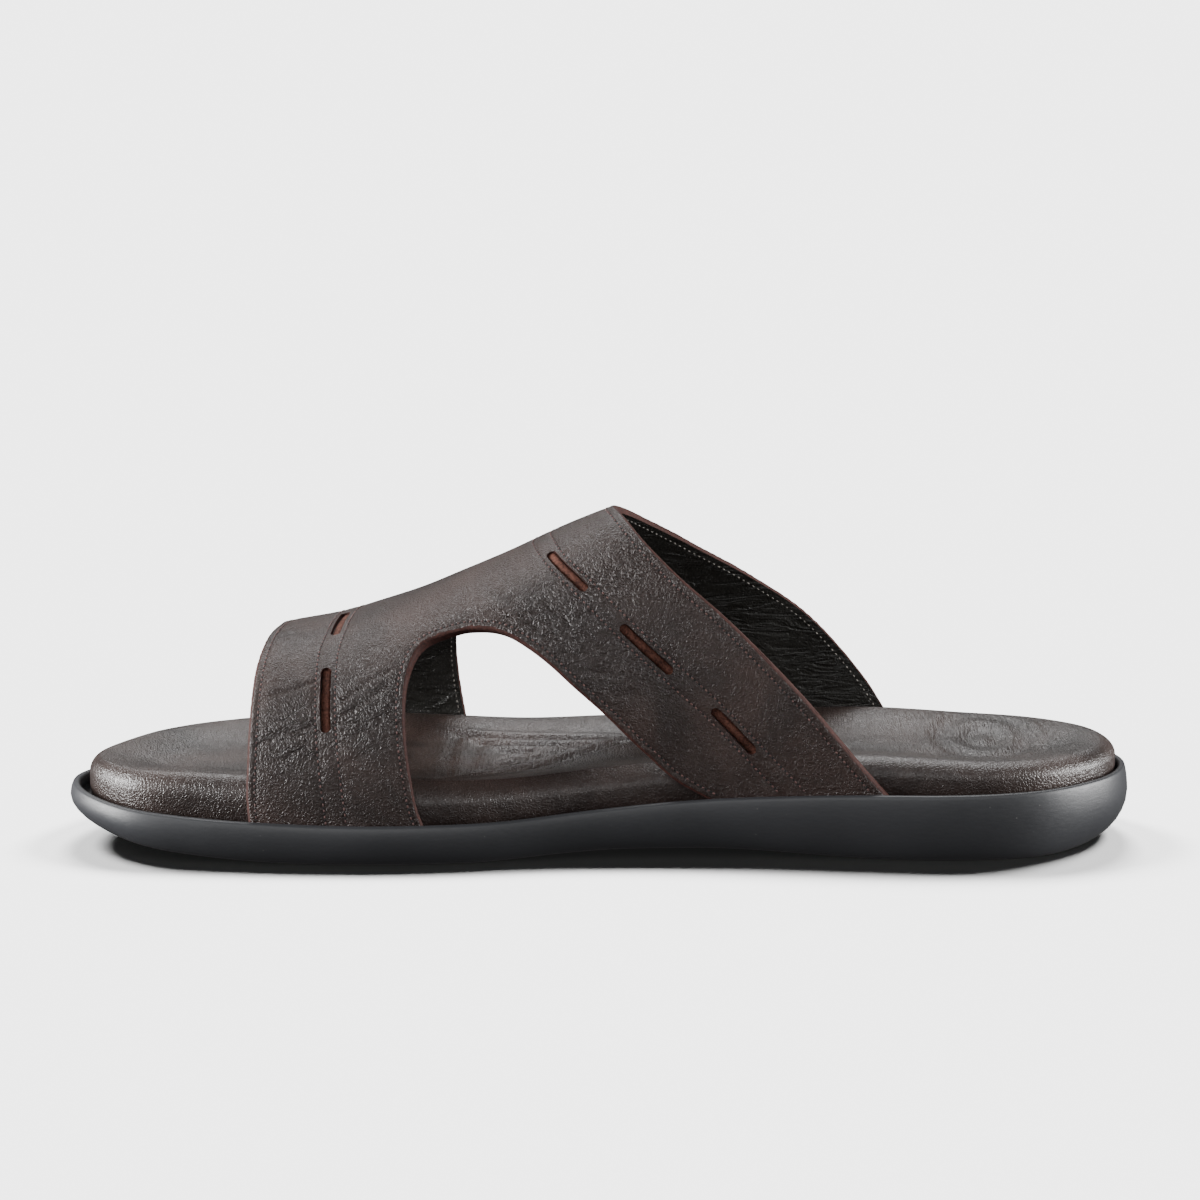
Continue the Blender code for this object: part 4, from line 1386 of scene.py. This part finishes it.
shape = bmesh.new()
turn_of = shape.verts.layers.float.new("turn")
start = bmesh.ops.create_circle(shape, segments=SOLE_POINTS, radius=1.0)["verts"]
for vert in start:
    vert[turn_of] = math.atan2(-vert.co.y, -vert.co.x) % (2 * math.pi)
places = on_outline([vert[turn_of] for vert in start], lambda x: undercut(x) + tread_border(x), bottom_z)
for vert, place in zip(start, places):
    vert.co = place
foot_edges = edges = list(shape.edges)
for degrees in (0, 8, 17, 27, 38, 50, 62, 75):
    c, s = math.cos(math.radians(degrees)), math.sin(math.radians(degrees))
    edges = drawn_ring(
        shape,
        edges,
        lambda x, s=s: undercut(x) * (1 - s),
        lambda x, y, c=c: bottom_z(x) + (widest_z(x) - bottom_z(x)) * (1 - c),
    )
# From the bulge up to the rim: inwards as shares of RIM_LEAN, up as shares of the way to the rim
for inwards, up in ((0, 0), (0.12, 0.30), (0.35, 0.60), (0.75, 0.88), (1, 0.985), (1.25, 1.02), (1.7, 1.035)):
    edges = drawn_ring(
        shape, edges, inwards * RIM_LEAN, lambda x, y, up=up: widest_z(x) + (rim_z(x) - widest_z(x)) * up
    )
# Over the rim and down inside the cup: inwards as shares of RIM_WALL, and the drop in mm
for inwards, drop in ((0.62, -0.30), (0.86, -0.12), (1.0, 0.25), (1.0, 2.4), (1.0, 4.0)):
    edges = drawn_ring(
        shape, edges, RIM_LEAN + RIM_WALL * inwards, lambda x, y, drop=drop: rim_z(x) - drop * mm
    )
edges = drawn_ring(shape, edges, RIM_LEAN + RIM_WALL + 1.0 * mm, floor_z)
for loop in (foot_edges, edges):
    made = bmesh.ops.contextual_create(shape, geom=loop)["faces"]
    bmesh.ops.triangulate(shape, faces=made)
bmesh.ops.recalc_face_normals(shape, faces=shape.faces)


# %% The sole's rubber
def sole_rubber():
    finish = Finish("sole_rubber", roughness=0.40, Specular_IOR_Level=0.5)
    cloud = finish.noise(30 * mm, detail=3.0)
    skin = finish.noise(0.7 * mm, detail=3.0, stretch=(3.0, 3.0, 1.0))
    specks = finish.cells(2.6 * mm, feature="F1").above(0.085, 0.045) * finish.noise(9 * mm).above(0.5, 0.62)
    dull = finish.mix(cloud, (0.0172, 0.0179, 0.0197), (0.0268, 0.0276, 0.0312))
    finish.base(finish.mix(specks * 0.35, dull, (0.16, 0.16, 0.15)))
    finish.feed("Roughness", cloud * 0.12 + skin * 0.14 + 0.33 + specks * 0.3)
    finish.bumps((cloud, 0.10, 0.5 * mm), (skin, 0.35, 0.10 * mm))
    return finish.material


SOLE_RUBBER = sole_rubber()
sole = piece("sole_cup", shape, ["outsole"], [SOLE_RUBBER])

# %% [markdown]
# The tread is a set of cross grooves with leaning walls. A Boolean cuts them from below with tapered bars,
# which leaves the rest of the underside as it is.

# %% Tread grooves
GROOVE_WIDTH = 2.5 * mm
GROOVE_DEPTH = 1.6 * mm
GROOVE_MARGIN = 8.0 * mm
GROOVE_TAPER = 0.4 * mm
GROOVE_PITCH = 0.0316
# The first groove and how many follow, under the forefoot and under the heel, as shares of LENGTH
GROOVE_ROWS = ((-0.3228, 9), (0.2386, 6))
GROOVES = [LENGTH * (first + GROOVE_PITCH * k) for first, count in GROOVE_ROWS for k in range(count)]

bars = bmesh.new()
for x in GROOVES:
    for vert in bmesh.ops.create_cube(bars, size=1.0)["verts"]:
        side, right, top = vert.co.y > 0, vert.co.x > 0, vert.co.z > 0
        half = GROOVE_WIDTH / 2 - (GROOVE_TAPER if top else 0.0)
        z = GROOVE_DEPTH + float(bottom_z(x)) if top else -GROOVE_DEPTH
        vert.co = (x + (half if right else -half), edge_y(x, undercut(x) + GROOVE_MARGIN, side), z)
bmesh.ops.recalc_face_normals(bars, faces=bars.faces)
mesh = bpy.data.meshes.new("tread_bars")
bars.to_mesh(mesh)
bars.free()
tread_bars = bpy.data.objects.new("tread_bars", mesh)
bpy.context.scene.collection.objects.link(tread_bars)
grooved = sole.modifiers.new("grooves", "BOOLEAN")
grooved.operation, grooved.solver, grooved.object = "DIFFERENCE", "EXACT", tread_bars
settle(sole, 50)
bpy.data.objects.remove(tread_bars)

# %% [markdown]
# ## Floor and light
# The sandal stands on pale studio paper that is lit on its own, as a photographer does when dark leather
# has to stay dark. Light linking does it: three suns from behind light only the paper, and only the sole
# casts their shadow, short and soft in front of the sandal. The paper is left out of the leather's
# reflections and of the sandal's own lamps. Of those, a broad soft one behind and above draws the pale
# sheens along the crest, one at each end lights the toe and the heel, and a weak one in front fills in.

# %% The floor
PAPER_GLOW = 0.01
# Grey paper under strong suns looks white, and its shadow stays darker than on white paper under weak ones
PAPER_TONES = ((0.120, 0.120, 0.120), (0.123, 0.123, 0.123))
floor_mesh = bmesh.new()
bmesh.ops.create_grid(floor_mesh, x_segments=1, y_segments=1, size=6.0)
mesh = bpy.data.meshes.new("studio_floor")
floor_mesh.to_mesh(mesh)
floor_mesh.free()
floor = bpy.data.objects.new("studio_floor", mesh)
bpy.context.scene.collection.objects.link(floor)
paper = Finish("studio_paper", roughness=0.95, Specular_IOR_Level=0.0, Emission_Strength=PAPER_GLOW)
paper.base(paper.mix(paper.noise(0.8, detail=2.0), *PAPER_TONES))
paper.shader.inputs["Emission Color"].default_value = (1, 1, 1, 1)
mesh.materials.append(paper.material)
floor.visible_glossy = floor.visible_diffuse = False
print("paper", [round(v, 1) for v in floor.dimensions[:2]], "m")

# %% The world and the linked collections
world = bpy.data.worlds.new("studio")
world.use_nodes = True
world.node_tree.nodes["Background"].inputs["Color"].default_value = (1, 1, 1, 1)
world.node_tree.nodes["Background"].inputs["Strength"].default_value = 0.12
bpy.context.scene.world = world


def linked(name, member):
    """A collection of one object, for a lamp to light or to leave out."""
    made = bpy.data.collections.new(name)
    made.objects.link(member)
    return made


all_but_paper, paper_only = linked("all_but_paper", floor), linked("paper_only", floor)
sole_only = linked("sole_only", sole)
all_but_paper.collection_objects[0].light_linking.link_state = "EXCLUDE"


# %% The sandal's lamps and the paper's
def softbox(name, place, target, width, height, power):
    """A rectangular lamp aimed at a target, which lights everything but the paper."""
    lamp = bpy.data.lights.new(name, "AREA")
    lamp.shape, lamp.size, lamp.size_y = "RECTANGLE", width, height
    lamp.energy = power
    made = bpy.data.objects.new(name, lamp)
    made.location = place
    made.rotation_euler = (Vector(target) - Vector(place)).to_track_quat("-Z", "Y").to_euler()
    made.visible_camera = False
    bpy.context.scene.collection.objects.link(made)
    made.light_linking.receiver_collection = all_but_paper
    print("lamp", name, power, "W")


# The suns' soft edge and slope, and each one's turn to the side and energy
SUN_SPREAD, SUN_SLOPE = math.radians(18), math.radians(-53)
for degrees, energy in ((-40, 54.0), (0, 66.0), (40, 54.0)):
    paper_light = bpy.data.lights.new("on_the_paper", "SUN")
    paper_light.energy, paper_light.angle = energy, SUN_SPREAD
    paper_lamp = bpy.data.objects.new("on_the_paper", paper_light)
    paper_lamp.rotation_euler = (SUN_SLOPE, 0, math.radians(degrees))
    bpy.context.scene.collection.objects.link(paper_lamp)
    paper_lamp.light_linking.receiver_collection = paper_only
    paper_lamp.light_linking.blocker_collection = sole_only
softbox("above_behind", (-0.05, 0.55, 0.75), (0, 0, 0.05), 0.8, 0.4, 7.5)
softbox("toe_end", (-0.72, -0.10, 0.22), (-0.05, 0, 0.03), 0.40, 0.36, 19.5)
softbox("heel_end", (0.75, -0.08, 0.22), (0.05, 0, 0.03), 0.45, 0.4, 15.0)
softbox("front", (-0.1, -1.0, 0.7), (0, 0, 0.05), 0.9, 0.5, 4.0)
